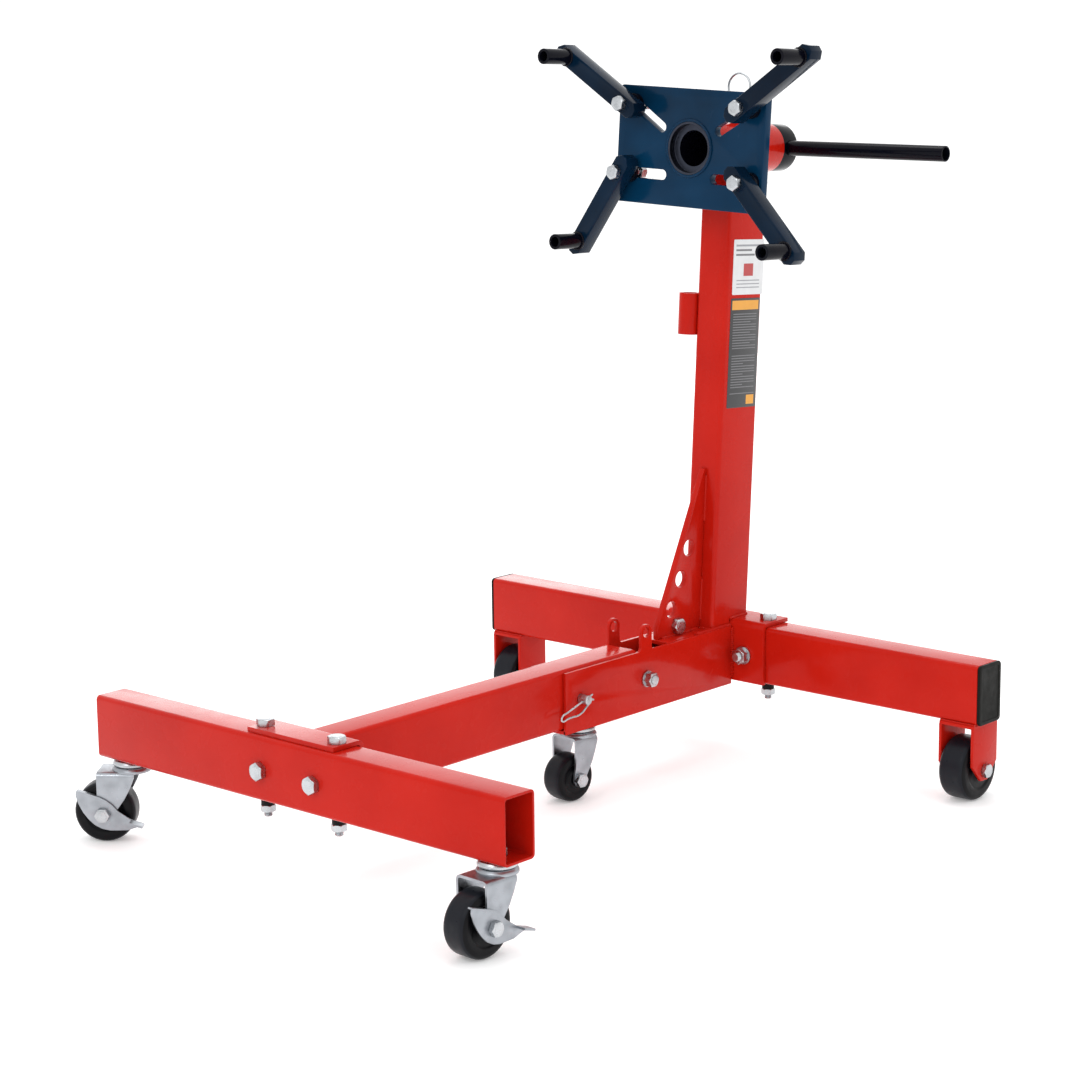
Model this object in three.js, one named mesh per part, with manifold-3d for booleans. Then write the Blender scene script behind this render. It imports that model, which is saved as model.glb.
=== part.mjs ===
// Folding engine stand: an H-shaped base on five casters, a rear column that leans back, and a
// rotating head plate with four adjustable arms.
// Millimetres, +Z up, +X to the right and -Y to the front. The base is laid out from the front face
// of the front crossbar (y = 0), the middle of the stand (x = 0) and the floor (z = 0). The whole
// group is then moved so that its origin is the middle of its own footprint, on the floor.

import * as THREE from 'three';
import { mergeVertices } from 'three/addons/utils/BufferGeometryUtils.js';
import Module from 'manifold-3d';

const wasm = await Module();
wasm.setup();

// ---- Driving dimensions ------------------------------------------------------------------------

const GAP = 0.3; // between pieces that touch
const RUN = 0.4; // between a pin and the hole it turns or slides in

const TUBE = { tall: 76, wide: 48, wall: 3, corner: 5 }; // the rectangular steel tube of the frame
const TUBE_TOP = 177.2; // top of the base tubes above the floor
const TUBE_BOTTOM = TUBE_TOP - TUBE.tall;
const BOLT_LINE = 137.5; // height of the pivot, the locking pin and the crosswise bolts

const FRONT = { length: 660, casterX: 298, faceBoltX: 43, flangeBoltX: 58 };
const REAR = { length: 808, y: 777, casterX: 377, faceBoltX: 48, flangeBoltX: 66 };
const PIVOT_Y = 595.5; // folding axis of the leg
const LOCK_REACH = 128; // pivot to locking pin
const STORE_REACH = 60; // pivot to the storage hole in the ears
const FOLD_LIMIT = THREE.MathUtils.degToRad(85);
const LEG_TAIL = 20; // how far the leg runs past its pivot
const LEG_TRIM = 578; // where the top of the leg's tail starts to slant

const PLATE = 5.5; // thickness of the two bent brackets
const CHANNEL = { front: 440, rear: 770, inner: 24.5, wall: 4.5, top: 174.3 };
const COVER = { front: 644, thick: 5 };

const COLUMN = { lean: THREE.MathUtils.degToRad(3.84), baseY: 772.6, width: 48, depth: 76, height: 614 };
const GUSSET = { half: 4, top: 384.5, nose: 4, toeY: 648, toeZ: 188.5, boltY: 686, boltZ: 186.5 };
const GUSSET_HOLES = { radius: 11, centres: [[713, 284.5], [696, 246], [676.5, 209]] };
const HOLDER = { z: 406, y: -34, outer: 14, inner: 11.2, length: 54 };

const HEAD = { y: 718.3, z: 798, tilt: THREE.MathUtils.degToRad(2.5), roll: THREE.MathUtils.degToRad(2) };
const FACEPLATE = { width: 235, height: 149, thick: 12, corner: 6 };
const SHAFT = { outer: 26.5, inner: 22.5, rear: 188, groove: 24 };
const MOUTH = { outer: 33.5, inner: 30.5, depth: 9, rear: 12.5 }; // the shaft's wide front end in the plate
const SLEEVE = { outer: 32, front: 13, rear: 158 };
const HANDLE = { radius: 10, inner: 8, left: -150, right: 270, reach: 173 };
const INDEX = { reach: 100, radius: 4, holes: 8 };

const BOLT = { radius: 6, flats: 19, head: 8, washer: 12, washerThick: 2.5, nutFlats: 19, nut: 10, tip: 5 };
const FLANGE_BOLT = { ...BOLT, radius: 5, nutFlats: 16, nut: 8, tip: 6 }; // the upright ones
const PIVOT_BOLT = { ...BOLT, flats: 17, washer: 10.5, nutFlats: 17, tip: 2.5 };
const ARM_BOLT = { ...BOLT, flats: 17, nutFlats: 17 };
const COLLAR = 11; // spacer collar under the nuts of the upright bolts
const ARM = { reach: 110, width: 22, thick: 23, standoff: 8, boss: 13, tail: 24, nose: 19, chamfer: 7 };
const ARM_SLEEVE = { outer: 10, inner: 6.5, length: 44 };

const FRONT_CASTER = { wheel: 37, width: 34, trail: 32, mount: TUBE_BOTTOM };
const MIDDLE_CASTER = { wheel: 30, width: 32, trail: 18, mount: TUBE_BOTTOM - 5 };
const REAR_WHEEL = { wheel: 40, width: 38 };

// ---- Materials ---------------------------------------------------------------------------------

const finish = (color, roughness, metalness) =>
  new THREE.MeshStandardMaterial({ color, roughness, metalness });
const RED = finish(0xc8231b, 0.3, 0.1);
const NAVY = finish(0x14283c, 0.35, 0.2);
const BLACK = finish(0x111214, 0.4, 0.2);
const ZINC = finish(0xb9bcc0, 0.3, 0.9);
const RUBBER = finish(0x17181a, 0.6, 0.0);
const PLASTIC = finish(0x141414, 0.5, 0.0);

// ---- Solids ------------------------------------------------------------------------------------

const ROUND = 12; // facets of a hole or a bolt
const WIDE = 24; // facets of a wheel or a raceway
const BROAD = 32; // facets of the head's pipes
const AXIS_X = [0, Math.PI / 2, 0]; // turns a piece made along +Z to run along +X
const AXIS_FRONT = [Math.PI / 2, 0, 0]; // ... along -Y
const BACKWARD = [-Math.PI / 2, 0, 0]; // ... along +Y

function signedVolume(positions, triangles) {
  const [a, b, c] = [new THREE.Vector3(), new THREE.Vector3(), new THREE.Vector3()];
  let sum = 0;
  for (let i = 0; i < triangles.length; i += 3) {
    a.fromArray(positions, 3 * triangles[i]);
    b.fromArray(positions, 3 * triangles[i + 1]);
    c.fromArray(positions, 3 * triangles[i + 2]);
    sum += a.dot(b.cross(c));
  }
  return sum;
}

// A solid from a closed geometry, with shared corners merged and its faces turned outward.
function toSolid(geometry) {
  const bare = geometry.clone();
  bare.deleteAttribute('normal');
  bare.deleteAttribute('uv');
  const merged = mergeVertices(bare, 1e-4);
  const positions = Float32Array.from(merged.attributes.position.array);
  const index = merged.index.array;
  const kept = [];
  for (let i = 0; i < index.length; i += 3) {
    const [p, q, r] = [index[i], index[i + 1], index[i + 2]];
    if (p !== q && q !== r && r !== p) kept.push(p, q, r);
  }
  if (signedVolume(positions, kept) < 0) kept.reverse();
  const mesh = new wasm.Mesh({ numProp: 3, vertProperties: positions, triVerts: Uint32Array.from(kept) });
  return new wasm.Manifold(mesh);
}

function toMesh(name, solid, material) {
  const result = solid.getMesh();
  const geometry = new THREE.BufferGeometry();
  geometry.setAttribute('position', new THREE.BufferAttribute(Float32Array.from(result.vertProperties), 3));
  geometry.setIndex(new THREE.BufferAttribute(Uint32Array.from(result.triVerts), 1));
  geometry.computeVertexNormals();
  const mesh = new THREE.Mesh(geometry, material);
  mesh.name = name;
  return mesh;
}

const joined = (...solids) => solids.reduce((whole, piece) => whole.add(piece));
const drilled = (solid, ...tools) => tools.reduce((whole, tool) => whole.subtract(tool), solid);

function box([x0, y0, z0], [x1, y1, z1]) {
  const geometry = new THREE.BoxGeometry(x1 - x0, y1 - y0, z1 - z0);
  return toSolid(geometry.translate((x0 + x1) / 2, (y0 + y1) / 2, (z0 + z1) / 2));
}

// A round bar from z0 to z1 along +Z, then turned and moved.
function rod(radius, z0, z1, turn = [0, 0, 0], at = [0, 0, 0], facets = ROUND) {
  const geometry = new THREE.CylinderGeometry(radius, radius, z1 - z0, facets);
  geometry.rotateX(Math.PI / 2).translate(0, 0, (z0 + z1) / 2);
  geometry.applyMatrix4(new THREE.Matrix4().makeRotationFromEuler(new THREE.Euler(...turn)));
  return toSolid(geometry.translate(...at));
}

// A solid of revolution about +Z from its [radius, height] profile.
function turned(profile, facets = WIDE) {
  const points = profile.map(([r, z]) => new THREE.Vector2(r, z));
  return toSolid(new THREE.LatheGeometry(points, facets).rotateX(Math.PI / 2));
}

function roundedOutline(width, height, corner) {
  const [x, y] = [width / 2, height / 2];
  const shape = new THREE.Shape();
  shape.moveTo(-x + corner, -y);
  shape.lineTo(x - corner, -y).absarc(x - corner, -y + corner, corner, -Math.PI / 2, 0);
  shape.lineTo(x, y - corner).absarc(x - corner, y - corner, corner, 0, Math.PI / 2);
  shape.lineTo(-x + corner, y).absarc(-x + corner, y - corner, corner, Math.PI / 2, Math.PI);
  shape.lineTo(-x, -y + corner).absarc(-x + corner, -y + corner, corner, Math.PI, 1.5 * Math.PI);
  return shape;
}

function polygon(points) {
  const shape = new THREE.Shape();
  points.forEach(([x, y], i) => (i ? shape.lineTo(x, y) : shape.moveTo(x, y)));
  return shape;
}

const extruded = (shape, depth, curveSegments = 3) =>
  new THREE.ExtrudeGeometry(shape, { depth, curveSegments, bevelEnabled: false });

// A flat plate lying in the YZ plane: its outline is [y, z] and it fills x0 to x1.
function sidePlate(shape, x0, x1, curveSegments = 5) {
  const geometry = extruded(shape, x1 - x0, curveSegments);
  geometry.rotateX(Math.PI / 2).rotateZ(Math.PI / 2);
  return toSolid(geometry.translate(x0, 0, 0));
}

// Rectangular tube along +Z, width along X and height along Y, open at both ends.
function tube(width, height, length, wall = TUBE.wall, corner = TUBE.corner) {
  const outline = roundedOutline(width, height, corner);
  outline.holes.push(roundedOutline(width - 2 * wall, height - 2 * wall, corner - wall + 0.5));
  return toSolid(extruded(outline, length));
}

const hexagon = (flats, z0, z1) => rod(flats / Math.sqrt(3), z0, z1, [0, 0, Math.PI / 6], [0, 0, 0], 6);

// A bolt along Z with its head up: z = 0 is the face under the head's washer, and the nut, with its
// washer or its spacer collar, pulls against z = -grip.
function boltAndNut(grip, { bolt = BOLT, washers = true, collar = 0 } = {}) {
  const flange = washers ? bolt.washerThick : 0;
  const nutTop = -grip - flange - collar;
  const pieces = [
    rod(bolt.radius, nutTop - bolt.nut - bolt.tip, flange + 1),
    hexagon(bolt.flats, flange, flange + bolt.head),
    hexagon(bolt.nutFlats, nutTop - bolt.nut, nutTop),
  ];
  if (washers) pieces.push(rod(bolt.washer, 0, flange), rod(bolt.washer, -grip - flange, -grip));
  if (collar) pieces.push(rod(bolt.nutFlats / 2, nutTop - 1, -grip));
  return joined(...pieces);
}

const holeX = (radius, y, z, x0, x1) => rod(radius, x0, x1, AXIS_X, [0, y, z]);
const holeY = (radius, x, z, y0, y1) => rod(radius, y0, y1, [-Math.PI / 2, 0, 0], [x, 0, z]);
const holeZ = (radius, x, y, z0, z1) => rod(radius, z0, z1, [0, 0, 0], [x, y, 0]);

const stand = new THREE.Group();

function add(parent, name, solid, material, position = [0, 0, 0], rotation = [0, 0, 0]) {
  const mesh = toMesh(name, solid, material);
  mesh.position.set(...position);
  mesh.rotation.set(...rotation);
  parent.add(mesh);
}

function addGroup(parent, position, rotation = [0, 0, 0]) {
  const group = new THREE.Group();
  group.position.set(...position);
  group.rotation.set(...rotation);
  parent.add(group);
  return group;
}

const SIDES = [['left', -1], ['right', 1]];
const BOLT_HOLE = BOLT.radius + RUN;
const FLANGE_HOLE = FLANGE_BOLT.radius + RUN;

// ---- Front crossbar, leg and their bracket -----------------------------------------------------

// A crossbar tube along X, drilled for its bracket bolts.
function crossbar({ length, faceBoltX, flangeBoltX }, y0, extraHoles = []) {
  const bar = tube(TUBE.tall, TUBE.wide, length);
  const along = new THREE.Matrix4().makeRotationY(Math.PI / 2);
  along.setPosition(-length / 2, y0 + TUBE.wide / 2, TUBE_BOTTOM + TUBE.tall / 2);
  const placed = bar.transform(along.elements);
  const holes = [-1, 1].flatMap((side) => [
    holeY(BOLT_HOLE, side * faceBoltX, BOLT_LINE, y0 - 1, y0 + TUBE.wide + 1),
    holeZ(FLANGE_HOLE, side * flangeBoltX, y0 + TUBE.wide / 2, TUBE_BOTTOM - 1, TUBE_TOP + 1),
  ]);
  return drilled(placed, ...holes, ...extraHoles);
}

const stemHoles = [-1, 1].map((side) =>
  holeZ(BOLT_HOLE, side * FRONT.casterX, TUBE.wide / 2, TUBE_BOTTOM - 1, TUBE_BOTTOM + 5));
add(stand, 'front_crossbar', crossbar(FRONT, 0, stemHoles), RED);

const LEG_FACE = TUBE.wide + GAP; // front of the leg bracket's upright plate
const LEG_START = LEG_FACE + PLATE + GAP;

function legBracket() {
  const half = 70;
  const setback = 7;
  const upright = box([-half, LEG_FACE, TUBE_BOTTOM], [half, LEG_FACE + PLATE, TUBE_TOP + GAP + PLATE]);
  const flange = box([-half, setback, TUBE_TOP + GAP], [half, LEG_FACE + PLATE, TUBE_TOP + GAP + PLATE]);
  const holes = [-1, 1].flatMap((side) => [
    holeY(BOLT_HOLE, side * FRONT.faceBoltX, BOLT_LINE, LEG_FACE - 1, LEG_FACE + PLATE + 1),
    holeZ(FLANGE_HOLE, side * FRONT.flangeBoltX, TUBE.wide / 2, TUBE_TOP, TUBE_TOP + PLATE + 1),
  ]);
  return drilled(joined(upright, flange), ...holes);
}
add(stand, 'leg_bracket', legBracket(), RED);

// The path that a fixed pin takes through the leg as the leg folds up: a band about the pivot.
function foldRelief(reach, radius, sweep) {
  const band = new THREE.Shape();
  const [start, end] = [Math.PI - 0.02, Math.PI + sweep];
  band.absarc(PIVOT_Y, BOLT_LINE, reach + radius, start, end, false);
  band.absarc(PIVOT_Y, BOLT_LINE, reach - radius, end, start, true);
  return sidePlate(band, -TUBE.wide, TUBE.wide);
}

function leg() {
  const length = PIVOT_Y + LEG_TAIL - LEG_START;
  const along = new THREE.Matrix4().makeRotationX(-Math.PI / 2);
  along.setPosition(0, LEG_START, TUBE_BOTTOM + TUBE.tall / 2);
  const body = tube(TUBE.wide, TUBE.tall, length).transform(along.elements);
  const storeAngle = Math.PI / 2 - FOLD_LIMIT;
  const storeY = PIVOT_Y - STORE_REACH * Math.cos(storeAngle);
  const storeZ = BOLT_LINE - STORE_REACH * Math.sin(storeAngle);
  const trim = sidePlate(polygon([ // the top of the tail slants down, clear of the cover
    [LEG_TRIM, TUBE_TOP + 1], [PIVOT_Y + LEG_TAIL + 1, TUBE_TOP + 1], [PIVOT_Y + LEG_TAIL + 1, BOLT_LINE + 2],
  ]), -TUBE.wide, TUBE.wide);
  return drilled(
    body,
    trim,
    holeX(BOLT_HOLE, PIVOT_Y, BOLT_LINE, -TUBE.wide, TUBE.wide),
    holeX(BOLT_HOLE, PIVOT_Y - LOCK_REACH, BOLT_LINE, -TUBE.wide, TUBE.wide),
    holeX(BOLT_HOLE, storeY, storeZ, -TUBE.wide, TUBE.wide),
    foldRelief(LOCK_REACH, BOLT_HOLE, THREE.MathUtils.degToRad(20)),
  );
}
add(stand, 'leg_tube', leg(), RED);

const FLANGE_TOP = TUBE_TOP + GAP + PLATE;
const flangeBolt = () => boltAndNut(TUBE.tall + PLATE + 3 * GAP,
  { bolt: FLANGE_BOLT, washers: false, collar: COLLAR });

for (const [side, sign] of SIDES) {
  const faceGrip = LEG_FACE + PLATE + 2 * GAP;
  add(stand, `front_face_bolt_${side}`, boltAndNut(faceGrip, { washers: false }), ZINC,
    [sign * FRONT.faceBoltX, -GAP, BOLT_LINE], AXIS_FRONT);
  add(stand, `front_flange_bolt_${side}`, flangeBolt(), ZINC,
    [sign * FRONT.flangeBoltX, TUBE.wide / 2, FLANGE_TOP + GAP]);
}

// ---- Rear channel, cover, bracket and crossbar -------------------------------------------------

// Side wall of the channel, with the raised ear that takes the pin when the leg is folded.
function channelWall(x0, x1) {
  const floor = TUBE_BOTTOM - 5;
  const ear = { y: PIVOT_Y, z: BOLT_LINE + STORE_REACH, radius: 10.5, foot: 15.5 };
  const outline = new THREE.Shape();
  outline.moveTo(CHANNEL.front, floor);
  outline.lineTo(CHANNEL.rear, floor);
  outline.lineTo(CHANNEL.rear, CHANNEL.top);
  outline.lineTo(ear.y + ear.foot, CHANNEL.top);
  outline.quadraticCurveTo(ear.y + ear.radius, CHANNEL.top, ear.y + ear.radius, CHANNEL.top + 6);
  outline.absarc(ear.y, ear.z, ear.radius, 0, Math.PI, false);
  outline.lineTo(ear.y - ear.radius, CHANNEL.top + 6);
  outline.quadraticCurveTo(ear.y - ear.radius, CHANNEL.top, ear.y - ear.foot, CHANNEL.top);
  outline.lineTo(CHANNEL.front, CHANNEL.top);
  return drilled(
    sidePlate(outline, x0, x1),
    holeX(BOLT_HOLE, ear.y, ear.z, x0 - 1, x1 + 1),
    holeX(BOLT_HOLE, PIVOT_Y, BOLT_LINE, x0 - 1, x1 + 1),
    holeX(BOLT_HOLE, PIVOT_Y - LOCK_REACH, BOLT_LINE, x0 - 1, x1 + 1),
  );
}

const CHANNEL_OUTER = CHANNEL.inner + CHANNEL.wall;

function channel() {
  const floor = box([-CHANNEL_OUTER, CHANNEL.front, TUBE_BOTTOM - 5],
    [CHANNEL_OUTER, CHANNEL.rear, TUBE_BOTTOM - 0.5]);
  const window = box([-CHANNEL.inner, PIVOT_Y - 28, TUBE_BOTTOM - 10],
    [CHANNEL.inner, PIVOT_Y + 28, TUBE_BOTTOM + 10]);
  const walls = [channelWall(-CHANNEL_OUTER, -CHANNEL.inner), channelWall(CHANNEL.inner, CHANNEL_OUTER)];
  return drilled(joined(floor, ...walls), window);
}
add(stand, 'rear_channel', channel(), RED);

const COVER_TOP = CHANNEL.top;
const coverHalf = CHANNEL.inner - GAP;
add(stand, 'channel_cover', box([-coverHalf, COVER.front, COVER_TOP - COVER.thick],
  [coverHalf, CHANNEL.rear, COVER_TOP]), RED);

const BRACKET_FACE = REAR.y - GAP - PLATE; // front of the rear bracket's upright plate

function rearBracket() {
  const half = 80;
  const rear = REAR.y + TUBE.wide;
  const upright = box([-half, BRACKET_FACE, TUBE_BOTTOM], [half, REAR.y - GAP, FLANGE_TOP]);
  const flange = box([-half, BRACKET_FACE, TUBE_TOP + GAP], [half, rear, FLANGE_TOP]);
  const holes = [-1, 1].flatMap((side) => [
    holeY(BOLT_HOLE, side * REAR.faceBoltX, BOLT_LINE, BRACKET_FACE - 1, REAR.y),
    holeZ(FLANGE_HOLE, side * REAR.flangeBoltX, REAR.y + TUBE.wide / 2, TUBE_TOP, FLANGE_TOP + 1),
  ]);
  return drilled(joined(upright, flange), ...holes);
}
add(stand, 'rear_bracket', rearBracket(), RED);
add(stand, 'rear_crossbar', crossbar(REAR, REAR.y), RED);

// Plastic plug in an open end of the rear crossbar, made along +Z with its flange outside.
function endCap() {
  const flange = toSolid(extruded(roundedOutline(TUBE.tall, TUBE.wide, TUBE.corner), 4));
  const inside = { wide: TUBE.tall - 2 * TUBE.wall - 1, tall: TUBE.wide - 2 * TUBE.wall - 1 };
  const plug = roundedOutline(inside.wide, inside.tall, 3);
  plug.holes.push(roundedOutline(inside.wide - 5, inside.tall - 5, 1.5));
  return joined(flange, toSolid(extruded(plug, 18).translate(0, 0, -17)));
}
for (const [side, sign] of SIDES) {
  add(stand, `crossbar_cap_${side}`, endCap(), PLASTIC,
    [sign * (REAR.length / 2 + GAP), REAR.y + TUBE.wide / 2, TUBE_BOTTOM + TUBE.tall / 2],
    [0, sign * Math.PI / 2, 0]);
  const faceGrip = TUBE.wide + PLATE + 3 * GAP;
  add(stand, `rear_face_bolt_${side}`, boltAndNut(faceGrip), ZINC,
    [sign * REAR.faceBoltX, REAR.y + TUBE.wide + GAP, BOLT_LINE], BACKWARD);
  add(stand, `rear_flange_bolt_${side}`, flangeBolt(), ZINC,
    [sign * REAR.flangeBoltX, REAR.y + TUBE.wide / 2, FLANGE_TOP + GAP]);
}

// The leg turns on this bolt, which is tightened across the channel's two walls, with its nut on the right.
add(stand, 'pivot_bolt', boltAndNut(2 * CHANNEL_OUTER + 2 * GAP, { bolt: PIVOT_BOLT }), ZINC,
  [-CHANNEL_OUTER - GAP, PIVOT_Y, BOLT_LINE], [0, -Math.PI / 2, 0]);

// ---- Locking pin and its hairpin clip ----------------------------------------------------------

const PIN_END = CHANNEL_OUTER + 14; // the end that holds the clip
const CLIP_X = CHANNEL_OUTER + 7.5;
const CLIP_WIRE = 1.3;
const CLIP_DROP = THREE.MathUtils.degToRad(16); // how far the clip's nose hangs below level

function lockPin() {
  const chamfer = 1.5;
  const body = turned([
    [0, -CHANNEL_OUTER - 8],
    [BOLT.radius - chamfer, -CHANNEL_OUTER - 8],
    [BOLT.radius, -CHANNEL_OUTER - 8 + chamfer],
    [BOLT.radius, PIN_END - chamfer],
    [BOLT.radius - chamfer, PIN_END],
    [0, PIN_END],
  ], ROUND);
  const crossHole = rod(CLIP_WIRE + RUN, -20, 20, [Math.PI / 2 + CLIP_DROP, 0, 0], [0, 0, 0], 12);
  const turnToX = new THREE.Matrix4().makeRotationY(Math.PI / 2);
  return drilled(body.transform(turnToX.elements), crossHole.translate([CLIP_X, 0, 0]));
}
add(stand, 'lock_pin', lockPin(), ZINC, [0, PIVOT_Y - LOCK_REACH, BOLT_LINE]);

// Hairpin: a straight leg through the pin, a round eye in front and a bent leg that grips the pin
// from below. It is drawn level along -Y from the pin's axis and then dropped by CLIP_DROP.
function hairpin() {
  const grip = BOLT.radius + CLIP_WIRE + RUN;
  const route = [
    [14, 0], [0, 0], [-16, 0], [-34, -0.3], [-43, 0], [-47.5, -3.5], [-44.5, -7.5], [-37, -8],
    [-28, -10], [-18, -13], [-8, -12.6], [0, -grip - 2], [7, -grip - 0.2], [11, -grip + 2.2],
    [14, -grip + 0.4],
  ];
  const turn = new THREE.Matrix4().makeRotationX(CLIP_DROP);
  const points = route.map(([y, z]) => new THREE.Vector3(0, y, z).applyMatrix4(turn));
  const wire = new THREE.Shape().absarc(0, 0, CLIP_WIRE, 0, 2 * Math.PI);
  const path = new THREE.CatmullRomCurve3(points, false, 'centripetal');
  return toSolid(new THREE.ExtrudeGeometry(wire, { extrudePath: path, steps: 36, curveSegments: 3 }));
}
add(stand, 'lock_pin_clip', hairpin(), ZINC, [CLIP_X, PIVOT_Y - LOCK_REACH, BOLT_LINE]);

// ---- Column, gusset and handle holder ----------------------------------------------------------

const column = addGroup(stand, [0, COLUMN.baseY, COVER_TOP + GAP], [-COLUMN.lean, 0, 0]);

// Places a solid given in the stand's frame into the leaning column's own frame.
function inColumnFrame(solid) {
  column.updateMatrixWorld(true);
  return solid.transform(column.matrixWorld.clone().invert().elements);
}

// The sleeve's outer cylinder in the stand's frame, grown by a margin.
function sleeveSpace(margin) {
  const toAxis = [Math.PI / 2 - HEAD.tilt, 0, 0];
  return rod(SLEEVE.outer + margin, -SLEEVE.rear - 40, 60, toAxis, [0, HEAD.y, HEAD.z], BROAD);
}

function columnTube() {
  const body = tube(COLUMN.width, COLUMN.depth, COLUMN.height).translate([0, 0, -10]);
  const level = box([-60, 600, 0], [60, 900, COVER_TOP + GAP]);
  const overBracket = box([-60, BRACKET_FACE - GAP, 0], [60, 900, FLANGE_TOP + GAP]);
  return drilled(body, ...[level, overBracket, sleeveSpace(GAP)].map(inColumnFrame));
}
add(column, 'column', columnTube(), RED);

function gusset() {
  const front = COLUMN.baseY - COLUMN.depth / 2 / Math.cos(COLUMN.lean); // column's front face at its foot
  const slope = Math.tan(COLUMN.lean);
  const base = COVER_TOP + GAP;
  const { half, top, nose, toeY, toeZ } = GUSSET;
  const faceAt = (z) => front + (z - base) * slope - GAP - 0.1;
  const outline = polygon([
    [toeY, base], [faceAt(base), base], [faceAt(top), top], [faceAt(top) - nose, top], [toeY, toeZ],
  ]);
  const holes = GUSSET_HOLES.centres.map(([y, z]) => holeX(GUSSET_HOLES.radius, y, z, -10, 10));
  const boltHole = holeX(BOLT_HOLE, GUSSET.boltY, GUSSET.boltZ, -10, 10);
  return drilled(sidePlate(outline, -half, half), ...holes, boltHole);
}
add(stand, 'gusset', gusset(), RED);
add(stand, 'gusset_bolt', boltAndNut(2 * (GUSSET.half + GAP), { washers: false }), ZINC,
  [GUSSET.half + GAP, GUSSET.boltY, GUSSET.boltZ], AXIS_X);

// Short round tube on the column's left side that stores the handle.
function ring(outer, inner, z0, z1, facets = WIDE) {
  return turned([[inner, z0], [outer, z0], [outer, z1], [inner, z1], [inner, z0]], facets);
}
add(column, 'handle_holder', ring(HOLDER.outer, HOLDER.inner, -HOLDER.length / 2, HOLDER.length / 2), RED,
  [-COLUMN.width / 2 - HOLDER.outer - GAP, HOLDER.y, HOLDER.z]);

// ---- Rotating head -----------------------------------------------------------------------------

// In the head's frame Y runs back along its axis from the face plate's front, and Z is up.
const head = addGroup(stand, [0, HEAD.y, HEAD.z], [-HEAD.tilt, 0, 0]);

function headSleeve() {
  const body = ring(SLEEVE.outer, SHAFT.outer + RUN, SLEEVE.front, SLEEVE.rear, BROAD);
  const pinHole = rod(INDEX.radius + RUN, 0, 60, AXIS_FRONT, [0, 0, INDEX.reach]);
  return drilled(body, pinHole);
}
add(head, 'head_sleeve', headSleeve(), RED, [0, 0, 0], BACKWARD);

// Tube that turns in the sleeve, with a wide mouth in the face plate, a groove for the index pin's
// tip and a ring of index holes.
function headShaft() {
  const groove = INDEX.radius + 1.5;
  const body = turned([
    [SHAFT.inner, MOUTH.depth], [MOUTH.inner, MOUTH.depth], [MOUTH.inner, -1.5], [MOUTH.outer, -1.5],
    [MOUTH.outer, MOUTH.rear], [SHAFT.outer, MOUTH.rear],
    [SHAFT.outer, INDEX.reach - groove], [SHAFT.groove, INDEX.reach - groove],
    [SHAFT.groove, INDEX.reach + groove], [SHAFT.outer, INDEX.reach + groove],
    [SHAFT.outer, SHAFT.rear], [SHAFT.inner, SHAFT.rear], [SHAFT.inner, MOUTH.depth],
  ], BROAD);
  const step = 2 * Math.PI / INDEX.holes;
  const holes = Array.from({ length: INDEX.holes }, (_, i) => {
    const hole = rod(INDEX.radius + RUN, 0, 60, AXIS_X, [0, 0, 0], 12);
    return hole.rotate([0, 0, THREE.MathUtils.radToDeg(i * step + HEAD.roll)]).translate([0, 0, INDEX.reach]);
  });
  return drilled(body, ...holes, rod(HANDLE.radius + RUN, -60, 60, AXIS_X, [0, 0, HANDLE.reach]));
}
add(head, 'head_shaft', headShaft(), BLACK, [0, 0, 0], BACKWARD);

function headHub() {
  const [z0, z1, chamfer] = [SLEEVE.rear + 0.6, SHAFT.rear, 2];
  const body = turned([
    [SHAFT.outer + GAP, z0], [SLEEVE.outer - 1, z0], [SLEEVE.outer - 1, z1 - chamfer],
    [SLEEVE.outer - 1 - chamfer, z1], [SHAFT.outer + GAP, z1], [SHAFT.outer + GAP, z0],
  ], BROAD);
  return drilled(body, rod(HANDLE.radius + RUN, -60, 60, AXIS_X, [0, 0, HANDLE.reach]));
}
add(head, 'head_hub', headHub(), BLACK, [0, 0, 0], BACKWARD);

const handleLength = HANDLE.right - HANDLE.left;
add(head, 'handle', ring(HANDLE.radius, HANDLE.inner, 0, handleLength), BLACK,
  [HANDLE.left, HANDLE.reach, 0], AXIS_X);

// Index pin: a spring plunger with a pull ring, in a barrel welded on top of the sleeve.
const BARREL = { outer: 10, top: 53 };

function pinBarrel() {
  const body = ring(BARREL.outer, INDEX.radius + RUN, SLEEVE.outer - 6, BARREL.top, 16);
  const seat = rod(SLEEVE.outer + GAP, -40, 40, AXIS_FRONT, [0, 0, 0], BROAD);
  return drilled(body, seat);
}
add(head, 'index_barrel', pinBarrel(), BLACK, [0, INDEX.reach, 0]);

const RING = { radius: 17.5, wire: 1.5, eye: 60 };

function indexPin() {
  const tip = SHAFT.groove + GAP;
  const shoulder = BARREL.top + GAP;
  const body = turned([
    [0, tip], [INDEX.radius - 1, tip], [INDEX.radius, tip + 1], [INDEX.radius, shoulder],
    [7, shoulder], [7, 64.5], [5, 66.5], [0, 66.5],
  ], 16);
  return drilled(body, rod(RING.wire + 1.4, -20, 20, AXIS_X, [0, 0, RING.eye + 0.5], 10));
}
add(head, 'index_pin', indexPin(), ZINC, [0, INDEX.reach, 0]);

function pullRing() {
  const torus = new THREE.TorusGeometry(RING.radius, RING.wire, 6, 28);
  return toSolid(torus.rotateX(Math.PI / 2));
}
add(head, 'index_ring', pullRing(), ZINC, [0, INDEX.reach, RING.eye + RING.radius - 0.2]);

// ---- Face plate and arms -----------------------------------------------------------------------

// In the plate's frame X is across, Z up, and -Y forward from the plate's front face.
const plate = addGroup(head, [0, 0, 0], [0, HEAD.roll, 0]);

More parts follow.
